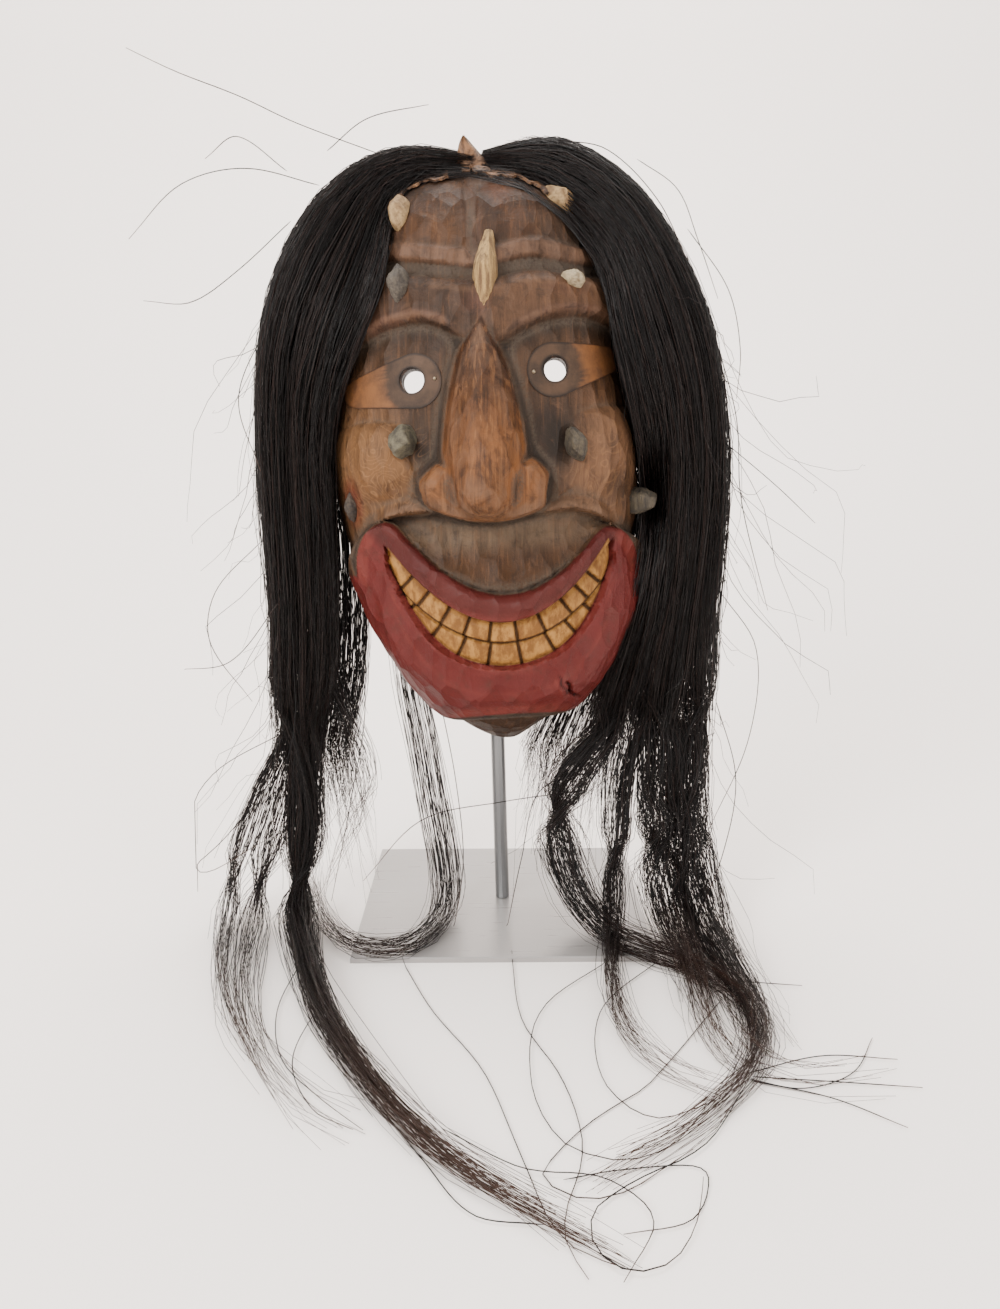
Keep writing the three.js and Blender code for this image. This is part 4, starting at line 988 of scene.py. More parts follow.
@dataclass
class CarvedMask:
    """The hollow carved face."""

    columns: int = 250
    rows: int = 325
    hollow_columns: int = 40
    hollow_rows: int = 50

    def spread(self, columns: int, rows: int) -> tuple:
        """Places in the unit circle for a grid of columns and rows.

        Args:
            columns: Cells across.
            rows: Cells up.

        Returns:
            Two arrays, rows by columns: shares across and up.
        """
        u = np.linspace(-1, 1, columns + 1)[None, :]
        v = through(ROW_HEIGHTS, np.linspace(0, 1, rows + 1))[:, None]
        a, b = u * np.sqrt(1 - v * v / 2), v * np.sqrt(1 - u * u / 2)
        wide = 1 + 0.3 * (1 - np.minimum(a * a + b * b, 1))
        across, level = a * wide, b * wide
        raised = level + ROW_BEND * across**2 * ramp(-1, -0.85, level) * ramp(0.6, -0.45, level)
        grown = np.sqrt(np.maximum(1 - raised**2, 0) / np.maximum(1 - level**2, 1e-9))
        return across * grown, raised

    def build(self) -> bpy.types.Object:
        """Carves the mask and colours it.

        Returns:
            The finished piece.
        """
        points = FaceForm.surface(*self.spread(self.columns, self.rows))
        piece = Shaping.grid_dome("carved_mask", FaceForm.to_world(points) * MM)
        inside = FaceForm.hollow(*self.spread(self.hollow_columns, self.hollow_rows))
        Shaping.cut(piece, Shaping.grid_dome("hollow", FaceForm.to_world(inside) * MM))
        for x, z in EYES:
            middle = np.array([x + EYE_HOLE_SHIFT[0], -45.0, z + EYE_HOLE_SHIFT[1]])
            bpy.ops.object.select_all(action="DESELECT")
            bpy.ops.mesh.primitive_cylinder_add(
                vertices=64, radius=(EYE_HOLE_RADIUS - EYE_HOLE_TRIM) * MM, depth=EYE_HOLE_LENGTH,
                location=FaceForm.to_world(middle) * MM, rotation=(math.pi / 2, 0, 0))
            Shaping.cut(piece, bpy.context.active_object)
        Shaping.smooth(piece, 50)
        self.dress(piece)
        Shaping.belong(piece, "wood", "mask")
        return piece

    def dress(self, piece: bpy.types.Object) -> None:
        """Stores the colours and gives the finish.

        Args:
            piece: The carved mesh.
        """
        normals = np.empty(len(piece.data.vertices) * 3, np.float32)
        piece.data.vertices.foreach_get("normal", normals)
        paint = MaskPaint(Shaping.vertices(piece), normals.reshape(-1, 3)[:, 1])
        Shaping.store(piece, "paint", paint.wood())
        for name in ("cavity", "teeth", "lips", "tooth", "slot", "tooth_row", "nose", "figure"):
            Shaping.store(piece, name, getattr(paint, name)())
        piece.data.materials.clear()
        piece.data.materials.append(WoodFinish().build())


@dataclass(frozen=True)
class StoneFinish:
    """Rough natural stone with dust in its pits."""

    name: str
    light: tuple
    dark: tuple
    streaked: bool = False

    def build(self) -> bpy.types.Material:
        """Makes the material.

        Returns:
            The material.
        """
        s = Shader(self.name)
        stretch = (1.6, 1.6, 0.25) if self.streaked else (1, 1, 1)
        cloud = s.noise(220, 5, 0.65, stretch, 0.6)
        pits = s.noise(900, 5, 0.7)
        colour = s.mix(s.step(cloud, 0.35, 0.65), linear(*self.dark), linear(*self.light))
        shade = linear(*(c * 0.55 for c in self.dark))
        colour = s.mix(s.math("MULTIPLY", s.step(pits, 0.52, 0.72), 0.6), colour, shade)
        colour = s.mix(1.0, colour, (0.56, 0.54, 0.5), "MULTIPLY")
        s.set(Base_Color=colour, Roughness=s.math("ADD", s.math("MULTIPLY", pits, 0.25), 0.65))
        s.set(Normal=s.bump(pits, 0.6, 0.0006, s.bump(cloud, 0.7, 0.0014)))
        return s.material


class StoneKind(Enum):
    """The kinds of stone set in the face."""

    TAN = StoneFinish("stone_tan", (186, 156, 112), (126, 96, 62))
    LEAF = StoneFinish("stone_leaf", (190, 156, 100), (112, 82, 48), True)
    GREY = StoneFinish("stone_grey", (92, 84, 74), (60, 53, 47))
    QUARTZ = StoneFinish("stone_quartz", (196, 182, 152), (136, 118, 90))
    GREEN = StoneFinish("stone_green", (112, 106, 86), (66, 61, 49))
    OLIVE = StoneFinish("stone_olive", (84, 74, 56), (44, 37, 28), True)
    DARK = StoneFinish("stone_dark", (74, 60, 48), (40, 32, 27))


@dataclass(frozen=True)
class Stone:
    """One broken pebble set in the wood."""

    node: str
    x: float
    z: float
    wide: float
    tall: float
    out: float
    lean: float
    taper: float
    kind: StoneKind

    def build(self) -> bpy.types.Object:
        """Makes the stone in its socket.

        Returns:
            The finished piece.
        """
        bpy.ops.object.select_all(action="DESELECT")
        bpy.ops.mesh.primitive_ico_sphere_add(subdivisions=5, radius=1)
        piece = bpy.context.active_object
        piece.name = self.node + "_piece"
        p = Shaping.vertices(piece) * MM
        seed = self.x * 0.7 + self.z * 0.31
        rough = 1 + 0.07 * np.sin(5.1 * p[:, 0] + seed) * np.cos(4.3 * p[:, 2] - seed + 2.2 * p[:, 1])
        rough += 0.035 * np.sin(11 * p[:, 2] + 7 * p[:, 0] + seed) * np.sin(9 * p[:, 0] - 8 * p[:, 1] + seed)
        narrow = 1 - self.taper * np.abs(p[:, 2]) ** 1.4
        shaped = p * rough[:, None] * np.array([self.wide, self.out, self.tall])
        shaped[:, :2] *= narrow[:, None]
        flats = np.random.default_rng(int(abs(seed) * 10)).normal(size=(9, 3))
        flats /= np.linalg.norm(flats, axis=1, keepdims=True)
        size = np.array([self.wide, self.out, self.tall])
        for flat in flats:
            limit = 0.86 * np.linalg.norm(flat * size)
            over = np.maximum(shaped @ flat - limit, 0)
            shaped -= 0.85 * over[:, None] * flat
        b = (self.z - MASK_MIDDLE) / MASK_HALF
        a = self.x / FaceForm.width(self.x, b)
        way = FaceForm.outward(np.array(a), np.array(b)) * 0.65 + np.array([0, -0.35, 0])
        turn = Vector((0, -1, 0)).rotation_difference(Vector(way / np.linalg.norm(way)))
        turn = turn.to_matrix() @ Matrix.Rotation(math.radians(self.lean), 3, "Y")
        foot = FaceForm.surface(np.array(a), np.array(b))
        placed = FaceForm.to_world(shaped @ np.array(turn).T + foot) * MM
        piece.data.vertices.foreach_set("co", placed.reshape(-1).astype(np.float32))
        piece.data.update()
        Shaping.smooth(piece, 40)
        piece.data.materials.append(self.kind.value.build())
        Shaping.belong(piece, "stone", self.node)
        return piece


STONES = (
    Stone("stone_forehead_left", -35, 271, 5.2, 10, 9, 8, 0.25, StoneKind.TAN),
    Stone("stone_forehead_right", 40, 275, 9.5, 6.2, 9, 32, 0.3, StoneKind.TAN),
    Stone("stone_forehead_centre", 3.2, 239, 6.2, 25, 12, 8, 0.62, StoneKind.LEAF),
    Stone("stone_brow_left", -37.5, 237, 5.4, 9.4, 8, 6, 0.5, StoneKind.GREY),
    Stone("stone_brow_right", 43.5, 234, 6.2, 4.2, 8, 28, 0.2, StoneKind.QUARTZ),
    Stone("stone_cheek_left", -42.5, 163, 6.6, 8.6, 11, 14, 0.05, StoneKind.GREEN),
    Stone("stone_cheek_right", 42, 156, 5.2, 9, 10, -14, 0.15, StoneKind.OLIVE),
    Stone("stone_jaw_left", -74, 132, 3.6, 8, 5, 4, 0.3, StoneKind.DARK),
    Stone("stone_jaw_right", 74.5, 125, 6.4, 8, 16.5, 24, 0.35, StoneKind.OLIVE),
)


class MetalFinish:
    """Thin tarnished sheet with scratches and brown film, and painted shadow along its rims."""

    def build(self) -> bpy.types.Material:
        """Makes the material.

        Returns:
            The material.
        """
        s = Shader("tarnished_sheet")
        film, scratch = s.noise(90, 5, 0.6), s.noise(700, 3, 0.6, (0.2, 1, 1))
        tail = s.mix(s.step(film, 0.35, 0.68), linear(100, 64, 36), linear(74, 49, 31))
        disc = s.mix(s.step(film, 0.35, 0.68), linear(62, 45, 32), linear(44, 33, 25))
        colour = s.mix(s.attribute("tail"), disc, tail)
        colour = s.mix(s.math("MULTIPLY", s.step(scratch, 0.6, 0.8), 0.5), colour, linear(34, 26, 20))
        # Painted shadow: the plate darkens along its inner and outer rims.
        colour = s.mix(s.math("MULTIPLY", s.attribute("edge"), 0.8), colour, linear(20, 15, 12))
        s.surface.inputs["Specular IOR Level"].default_value = 0.2
        s.set(Base_Color=colour, Metallic=0.1, Roughness=s.math("ADD", s.math("MULTIPLY", film, 0.3), 0.45))
        s.set(Normal=s.bump(film, 0.4, 0.0008))
        return s.material


@dataclass(frozen=True)
class EyePlate:
    """Thin metal plate round an eye hole, with one small nail."""

    side: str
    eye: tuple
    middle: tuple
    tip: tuple
    nail: tuple
    spokes: int = 72

    def outline(self) -> np.ndarray:
        """Outline of a disc drawn out to a small round tip.

        Returns:
            Points x, z in the mask's frame.
        """
        start, end = np.array(self.middle), np.array(self.tip)
        angles = np.linspace(0, 2 * math.pi, self.spokes, endpoint=False)
        ways = np.stack([np.cos(angles), np.sin(angles)], 1)
        origin = np.array(self.eye)
        reach = np.zeros(len(ways))
        for share in np.linspace(0, 1, 60):
            centre = start + (end - start) * share - origin
            radius = EYE_PLATE_RADIUS + (EYE_PLATE_TIP_RADIUS - EYE_PLATE_RADIUS) * share
            along = ways @ centre
            inside = along**2 - centre @ centre + radius**2
            reach = np.maximum(reach, np.where(inside > 0, along + np.sqrt(np.maximum(inside, 0)), 0))
        return origin + ways * reach[:, None]

    def build(self) -> bpy.types.Object:
        """Makes the plate over the carved surface.

        Returns:
            The finished piece.
        """
        outer = self.outline()
        origin = np.array(self.eye)
        ways = outer - origin
        ways = ways / np.linalg.norm(ways, axis=1, keepdims=True)
        inner = origin + ways * (EYE_HOLE_RADIUS - EYE_PLATE_LIP)
        shares = np.array([0, 0.05, 0.1, 0.2, 0.35, 0.5, 0.65, 0.8, 0.92, 0.97, 1])
        lattice = inner[None] + (outer - inner)[None] * shares[:, None, None]
        top = FaceForm.over(lattice[..., 0], lattice[..., 1], EYE_PLATE_THICKNESS - EYE_PLATE_SUNK)
        low = FaceForm.over(lattice[..., 0], lattice[..., 1], -EYE_PLATE_SUNK)
        layers = np.concatenate([top, low[::-1]], 0)
        rows, count = layers.shape[:2]
        index = np.arange(rows * count).reshape(rows, count)
        after = np.roll(index, -1, 1)
        below = np.roll(index, -1, 0)
        faces = np.stack([index, after, np.roll(below, -1, 1), below], -1).reshape(-1, 4)
        places = FaceForm.to_world(layers).reshape(-1, 3) * MM
        piece = Shaping.mesh(f"eye_plate_{self.side}_piece", places, [faces])
        Shaping.alone(piece)
        bpy.ops.object.mode_set(mode="EDIT")
        bpy.ops.mesh.select_all(action="SELECT")
        bpy.ops.mesh.normals_make_consistent(inside=False)
        bpy.ops.object.mode_set(mode="OBJECT")
        far = np.linalg.norm(lattice - origin, axis=2)
        rim = np.minimum(far - far[:1], far[-1:] - far)
        # The edge values darken the plate near its rims, a painted shadow line.
        for name, values in (("tail", ramp(14.0, 15.5, far)), ("edge", ramp(1.2, 0.2, rim))):
            Shaping.store(piece, name, np.concatenate([values, values[::-1]]).reshape(-1))
        Shaping.smooth(piece, 40)
        piece.data.materials.append(MetalFinish().build())
        Shaping.belong(piece, "eye_metal", f"eye_plate_{self.side}")
        return piece

    def build_nail(self) -> bpy.types.Object:
        """Makes the round nail head.

        Returns:
            The finished piece.
        """
        centre = FaceForm.to_world(FaceForm.over(np.array(self.nail[0]), np.array(self.nail[1]), 0.5))
        bpy.ops.object.select_all(action="DESELECT")
        bpy.ops.mesh.primitive_uv_sphere_add(segments=20, ring_count=12, radius=1)
        piece = bpy.context.active_object
        piece.name = f"eye_nail_{self.side}_piece"
        placed = Shaping.vertices(piece) * MM * np.array([1.0, 1.0, 1.0]) + centre
        piece.data.vertices.foreach_set("co", (placed * MM).reshape(-1).astype(np.float32))
        piece.data.update()
        Shaping.smooth(piece, 60)
        s = Shader(f"nail_{self.side}")
        s.set(Base_Color=linear(120, 106, 86), Metallic=0.6, Roughness=s.math("MULTIPLY", s.noise(900), 0.6))
        piece.data.materials.append(s.material)
        Shaping.belong(piece, "nail", f"eye_nail_{self.side}")
        return piece


EYE_PLATES = (
    EyePlate("left", (-36, 192), (-34.5, 191.5), (-66, 188), (-24.5, 192)),
    EyePlate("right", (34, 193), (33.5, 192.5), (62, 197), (23.5, 192)),
)


class RawhideFinish:
    """Dry brown rawhide with dark creases."""

    def build(self) -> bpy.types.Material:
        """Makes the material.

        Returns:
            The material.
        """
        s = Shader("rawhide")
        creases, fine = s.noise(140, 6, 0.7, twist=0.8), s.noise(1200, 4, 0.7)
        colour = s.mix(s.step(creases, 0.36, 0.66), linear(52, 36, 26), linear(124, 88, 58))
        colour = s.mix(s.math("MULTIPLY", s.step(fine, 0.55, 0.75), 0.4), colour, linear(44, 29, 20))
        s.set(Base_Color=colour, Roughness=s.math("ADD", s.math("MULTIPLY", fine, 0.3), 0.5))
        s.set(Normal=s.bump(creases, 0.8, 0.002, s.bump(fine, 0.3, 0.0004)))
        return s.material


@dataclass(frozen=True)
class RawhideStrip:
    """Rawhide strip along the top edge that ties the hair, with a raised flap on one side."""

    side: str
    start: float
    end: float
    flap: bool

    def build(self) -> bpy.types.Object:
        """Makes the strip.

        Returns:
            The finished piece.
        """
        steps, across = 90, 8
        angle = np.radians(np.linspace(self.start, self.end, steps + 1))[:, None]
        share = np.linspace(0, 1, across + 1)[None, :]
        wave = 0.009 * np.sin(angle * 23) + 0.006 * np.sin(angle * 61 + 1) + 0.003 * np.sin(angle * 143)
        radius = 0.994 - (0.042 + wave) * share
        a, b = radius * np.cos(angle), radius * np.sin(angle)
        pucker = 0.5 * np.sin(angle * 37 + share * 5) + 0.25 * np.sin(angle * 89 - share * 9)
        out = FaceForm.outward(a, b)
        under = FaceForm.surface(a, b) + out * 0.9
        over = under + out * (1.3 + pucker * np.sin(np.pi * share))[..., None]
        ring = np.concatenate([over, under[:, ::-1]], 1)
        points = FaceForm.to_world(ring)
        count = ring.shape[1]
        index = np.arange(points.shape[0] * count).reshape(-1, count)
        after = np.roll(index, -1, 1)
        sides = np.stack([index[:-1], after[:-1], after[1:], index[1:]], -1).reshape(-1, 4)
        ends = np.stack([index[0][::-1], index[-1]])
        piece = Shaping.mesh(f"rawhide_{self.side}_piece", points.reshape(-1, 3) * MM, [sides, ends])
        if self.flap:
            self.add_flap(piece)
        Shaping.alone(piece)
        bpy.ops.object.mode_set(mode="EDIT")
        bpy.ops.mesh.select_all(action="SELECT")
        bpy.ops.mesh.normals_make_consistent(inside=False)
        bpy.ops.object.mode_set(mode="OBJECT")
        Shaping.smooth(piece, 40)
        piece.data.materials.append(RawhideFinish().build())
        Shaping.belong(piece, "rawhide", f"rawhide_{self.side}")
        return piece

    def add_flap(self, piece: bpy.types.Object) -> None:
        """Joins the folded flap that stands up at the parting.

        Args:
            piece: The strip that the flap belongs to.
        """
        steps = 14
        rows = np.linspace(0, 1, steps + 1)[:, None]
        cols = np.linspace(-1, 1, steps + 1)[None, :]
        wide = (11 * (1 - rows) ** 0.8 + 0.7)
        x = cols * wide - 2.5 * rows + 0.8 * np.sin(5 * rows)
        z = MASK_TOP - 4 + 19 * rows - 2.4 * cols**2 * (1 - rows)
        y = -8.8 - 2.2 * np.cos(cols * 1.5) + 1.1 * np.sin(6 * cols + 3 * rows)
        front = np.stack([x, y - 1.0, z], -1)
        back = np.stack([x, y + 0.6, z], -1)
        points = np.concatenate([front.reshape(-1, 3), back.reshape(-1, 3)])
        index = np.arange((steps + 1) ** 2).reshape(steps + 1, steps + 1)
        layer = (steps + 1) ** 2
        quads = np.stack([index[:-1, :-1], index[:-1, 1:], index[1:, 1:], index[1:, :-1]], -1).reshape(-1, 4)
        rim = np.concatenate([index[0], index[1:, -1], index[-1, -2::-1], index[-2:0:-1, 0]])
        wall = np.stack([rim, rim + layer, np.roll(rim, -1) + layer, np.roll(rim, -1)], -1)
        flap = Shaping.mesh("flap", FaceForm.to_world(points) * MM, [quads, quads[:, ::-1] + layer, wall])
        Shaping.alone(piece)
        flap.select_set(True)
        bpy.ops.object.join()


class HairFinish:
    """Near-black horsehair, browner towards its ends."""

    def build(self) -> bpy.types.Material:
        """Makes the material.

        Returns:
            The material.
        """
        s = Shader("horsehair")
        tint, along = s.attribute("tint"), s.attribute("along")
        colour = s.mix(tint, linear(7, 5.5, 5.5), linear(34, 22, 18))
        colour = s.mix(s.math("MULTIPLY", s.step(along, 0.62, 1.0), 0.55), colour, linear(74, 50, 38))
        s.set(Base_Color=colour, Roughness=s.math("ADD", s.math("MULTIPLY", s.noise(500), 0.2), 0.34))
        s.surface.inputs["Specular IOR Level"].default_value = 0.22
        s.set(Normal=s.bump(s.noise(1500, 2, 0.5, (1, 1, 0.04)), 0.3, 0.0004))
        return s.material


@dataclass(frozen=True)
class Lock:
    """A lock that hangs from a mass and runs out on the floor."""

    points: tuple
    widths: tuple
    share: float
    across: tuple


@dataclass(frozen=True)
class HairSide:
    """All the hair of one side, as paths from the parting down."""

    side: str
    inner: tuple
    outer: tuple
    locks: tuple
    nodes: tuple
    long_strands: int
    short_strands: int
    back_strands: int
    loose: tuple
    seed: int


STONES_IN_HAIR = ((83, 238, 12), (27, 391, 6.5))
FRONT_BACK = (
    (0.0, -20, 0), (0.12, -30, 16), (0.3, -52, 24), (0.45, -52, 24), (0.6, -44, 20), (0.8, -34, 12),
    (1.0, -27, 2),
)


@dataclass
class Bundle:
    """Strands gathered for one object."""

    points: list = field(default_factory=list)
    quads: list = field(default_factory=list)
    caps: list = field(default_factory=list)
    tints: list = field(default_factory=list)
    alongs: list = field(default_factory=list)
    used: int = 0
    faces: int = 0

    def take(self, tubes: tuple, along: np.ndarray, tint: np.ndarray) -> None:
        """Adds the tubes of some strands.

        Args:
            tubes: Points, four-sided faces and three-sided end faces.
            along: Place along the strand, strands by places.
            tint: Shade of each strand.
        """
        ring, quad, cap = tubes
        strands, places = along.shape
        self.points.append(ring)
        self.quads.append(quad + self.used)
        self.caps.append(cap + self.used)
        self.tints.append(np.repeat(tint, places * 3))
        self.alongs.append(np.repeat(along, 3, axis=1).reshape(-1))
        self.used += len(ring)
        self.faces += ((places - 1) * 6 + 2) * strands

    def build(self, name: str) -> bpy.types.Object:
        """Makes one object of the strands.

        Args:
            name: The object's name.

        Returns:
            The new object.
        """
        faces = [np.concatenate(self.quads), np.concatenate(self.caps)]
        piece = Shaping.mesh(name, np.concatenate(self.points) * MM, faces)
        Shaping.store(piece, "tint", np.concatenate(self.tints))
        Shaping.store(piece, "along", np.concatenate(self.alongs))
        piece.data.polygons.foreach_set("use_smooth", np.ones(len(piece.data.polygons), bool))
        return piece


class HairGrower:
    """Grows strands as thin closed tubes along flowing paths."""

    def __init__(self, plan: HairSide) -> None:
        """Sets up the flow of one side.

        Args:
            plan: The side's paths and locks.
        """
        self.plan = plan
        self.rng = np.random.default_rng(plan.seed)
        self.thick = np.zeros(0)
        self.batches: list = []

    @staticmethod
    def even(points: tuple, shares: np.ndarray) -> np.ndarray:
        """Places along a smooth path by share of its length.

        Args:
            points: The path's points.
            shares: Shares from 0 to 1.

        Returns:
            Points on the path.
        """
        points = np.array(points, float)
        length = np.concatenate([[0], np.cumsum(np.linalg.norm(np.diff(points, axis=0), axis=1))])
        pairs = tuple((d, *p) for d, p in zip(length / length[-1], points))
        return through(pairs, shares)

    @staticmethod
    def sightline(flat: np.ndarray, y: np.ndarray) -> np.ndarray:
        """Moves places of the hair's middle plane along the line of sight.

        Args:
            flat: Places x, z on the plane.
            y: How far forward or back each goes.

        Returns:
            Points in the row frame.
        """
        reach = (y - CAMERA_AT[1]) / (HAIR_PLANE - CAMERA_AT[1])
        x = CAMERA_AT[0] + (flat[..., 0] - CAMERA_AT[0]) * reach
        z = CAMERA_AT[2] + (flat[..., 1] - CAMERA_AT[2]) * reach
        return np.stack([x, y, z], -1)

    @staticmethod
    def clear_of_face(flat: np.ndarray, y: np.ndarray, room: np.ndarray) -> np.ndarray:
        """Brings strands that would run inside the mask out in front of it.

        Args:
            flat: Places x, z on the hair's middle plane.
            y: Their depths.
            room: Distance kept from the wood.

        Returns:
            New depths.
        """
        for _ in range(2):
            point = HairGrower.sightline(flat, y)
            own = FaceForm.from_world(point)
            b = (own[..., 2] - MASK_MIDDLE) / MASK_HALF
            radius = np.hypot(own[..., 0] / FaceForm.width(own[..., 0], b), b)
            front = MASK_PLACE[1] - (DOME_DEPTH * FaceForm.dome(radius) + 5 * ramp(1, 0.9, radius)) - room
            y = np.where(radius < 1, np.minimum(y, front), y)
        return y

    def upper(self, across: np.ndarray, depth: np.ndarray, shares: np.ndarray) -> np.ndarray:
        """Paths from the parting to the foot of the mass.

        Args:
            across: Place of each strand from the inner to the outer edge.
            depth: Place of each strand from front to back.
            shares: Shares of the way down, for each strand and point.

        Returns:
            Points, strands by places.
        """
        inner, outer = self.even(self.plan.inner, shares), self.even(self.plan.outer, shares)
        flat = inner + (outer - inner) * across[..., None]
        sides = through(FRONT_BACK, shares)
        y = sides[..., 0] + (sides[..., 1] - sides[..., 0]) * depth
        y = self.clear_of_face(flat, y, 2.5 + 7 * self.thick[:, None])
        for x, z, reach in STONES_IN_HAIR:
            near = np.hypot((flat[..., 0] - x) / reach, (flat[..., 1] - z) / (reach * 1.6))
            y = y + (np.maximum(y, 0) - y) * ramp(1.2, 0.6, near)
        return self.sightline(flat, y)

    def wander(self, count: int, places: np.ndarray, reach: float) -> np.ndarray:
        """Small smooth sideways drift of each strand.

        Args:
            count: How many strands.
            places: Shares along them.
            reach: Largest drift at the ends.

        Returns:
            Offsets, strands by places.
        """
        drift = np.zeros((count, len(places), 3))
        for waves, size in ((1.3, 1.0), (3.1, 0.45), (6.7, 0.16)):
            phase = self.rng.uniform(0, 2 * math.pi, (count, 1, 3))
            rate = waves * self.rng.uniform(0.7, 1.3, (count, 1, 3))
            swing = self.rng.normal(0, 0.6, (count, 1, 3)) * size
            drift += swing * np.sin(rate * 2 * math.pi * places[None, :, None] + phase)
        return drift * (reach * (0.12 + 0.88 * places**1.3))[None, :, None]

    def strands(self, lock: Lock, count: int) -> None:
        """Grows the strands that run down through one lock.

        Args:
            lock: The lock.
            count: How many strands.
        """
        rng = self.rng
        clumps = max(count // 11, 3)
        clump_across = rng.uniform(lock.across[0], lock.across[1], clumps)
        clump_depth = rng.uniform(0.02, 0.98, clumps)
        pick = rng.integers(0, clumps, count)
        places = np.linspace(0, 1, 10)
        near = 1 - 0.55 * places[None, :]
        across = clump_across[pick][:, None] + rng.normal(0, 0.07, (count, 1)) * near
        across = np.clip(across, -0.015, 1.02)
        depth = np.clip(clump_depth[pick][:, None] + rng.normal(0, 0.12, (count, 1)) * near, 0, 1)
        self.thick = rng.uniform(0, 1, count)
        start = rng.uniform(0, 0.1, (count, 1)) * (1 - across[:, :1])
        end = 0.93
        top = self.upper(across, depth, start + (end - start) * places[None, :])
        curve = np.array(lock.points, float)
        steps = np.linspace(0.08, 1, 15)
        middle = self.even(curve, steps)
        tangent = np.gradient(middle, axis=0)
        tangent /= np.linalg.norm(tangent, axis=1, keepdims=True)
        side = np.cross(tangent, np.array([0.15, 0.3, 1.0]))
        side[np.linalg.norm(side, axis=1) < 0.2] = (1, 0, 0)
        side /= np.linalg.norm(side, axis=1, keepdims=True)
        lift = np.cross(side, tangent)
        clump_turn, clump_far = rng.uniform(0, 2 * math.pi, clumps), np.sqrt(rng.uniform(0, 1, clumps))
        own_turn, own_far = rng.uniform(0, 2 * math.pi, count), np.sqrt(rng.uniform(0, 1, count))
        twist = rng.normal(0, 1.2, clumps)[pick][:, None] * steps[None, :]
        loosened = 1 + 0.45 * np.sin(np.pi * np.clip(steps * 1.6, 0, 1))
        radius = (through(lock.widths, steps) * loosened)[None, :]
        u = clump_far[pick][:, None] * np.cos(clump_turn[pick][:, None] + twist) * 0.9
        v = clump_far[pick][:, None] * np.sin(clump_turn[pick][:, None] + twist) * 0.9
        stray = 0.2 + np.where(rng.uniform(0, 1, (count, 1)) < 0.16, 1.4, 0.0) * steps[None, :] ** 0.7
        u = (u + stray * (own_far * np.cos(own_turn))[:, None]) * radius
        v = (v + stray * (own_far * np.sin(own_turn))[:, None]) * radius
        low = middle[None] + u[..., None] * side[None] + v[..., None] * lift[None]
        keep = np.exp(-steps / 0.12)[None, :, None] * 0.55
        low = low * (1 - keep) + (top[:, -1:, :] + (middle - middle[:1])[None]) * keep
        control = np.concatenate([top, low], 1)
        shares = np.linspace(0, 1, control.shape[1])
        control = control + self.wander(clumps, shares, 5.0)[pick] + self.wander(count, shares, 5.5)
        cut = 1 - np.abs(rng.normal(0, 0.1, count))
        cut = cut - (rng.uniform(0, 1, count) < 0.84) * rng.uniform(0.1, 0.6, count)
        self.keep(control, np.clip(cut, 0.3, 1), 25, rng.uniform(0.13, 0.2, count))

    def short(self, count: int) -> None:
        """Grows strands that end within the mass, to fill it.

        Args:
            count: How many strands.
        """
        rng = self.rng
        clumps = count // 16
        pick = rng.integers(0, clumps, count)
        places = np.linspace(0, 1, 11)
        across = rng.uniform(0, 1, clumps)[pick][:, None]
        across = across + rng.normal(0, 0.06, (count, 1)) * (1 - 0.4 * places)
        depth = rng.uniform(0, 0.6, clumps)[pick][:, None] + rng.normal(0, 0.08, (count, 1))
        self.thick = rng.uniform(0, 1, count)
        start = rng.uniform(0, 0.25, (count, 1))
        end = 0.52 + 0.48 * rng.uniform(0, 1, (count, 1)) ** 0.75
        control = self.upper(np.clip(across, -0.01, 1.01), np.clip(depth + 0 * across, 0, 1),
                             start + (end - start) * places[None, :])
        control = control + self.wander(count, places, 4.5)
        self.keep(control, np.ones(count), 12, rng.uniform(0.13, 0.24, count))

    def behind(self, count: int) -> None:
        """Grows thin strands that hang behind the mask's edge.

        Args:
            count: How many strands.
        """
        rng = self.rng
        sign = -1 if self.plan.side == "left" else 1
        places = np.linspace(0.12, 1, 10)[None, :]
        across = rng.uniform(-0.42, 0.3, (count, 1)) * np.sin(np.pi * np.clip(places + 0.1, 0, 1) / 2)
        depth = rng.uniform(0.8, 1.1, (count, 1)) + 0 * places
        inner, outer = self.even(self.plan.inner, places), self.even(self.plan.outer, places)
        flat = inner + (outer - inner) * across[..., None]
        sides = through(FRONT_BACK, places)
        y = np.maximum(sides[..., 0] + (sides[..., 1] - sides[..., 0]) * depth, -3 + 6 * depth)
        top = self.sightline(flat, y)
        steps = np.linspace(0.15, 1, 6)[None, :, None]
        length = rng.uniform(10, 95, (count, 1, 1))
        way = np.array([0, 0, -1.0]) + rng.normal(0, 0.12, (count, 1, 3)) - np.array([0.14 * sign, 0, 0])
        low = top[:, -1:] + way * length * steps
        control = np.concatenate([top, low], 1)
        control = control + self.wander(count, np.linspace(0, 1, control.shape[1]), 7.0)
        self.keep(control, rng.uniform(0.55, 1, count), 16, rng.uniform(0.1, 0.16, count))

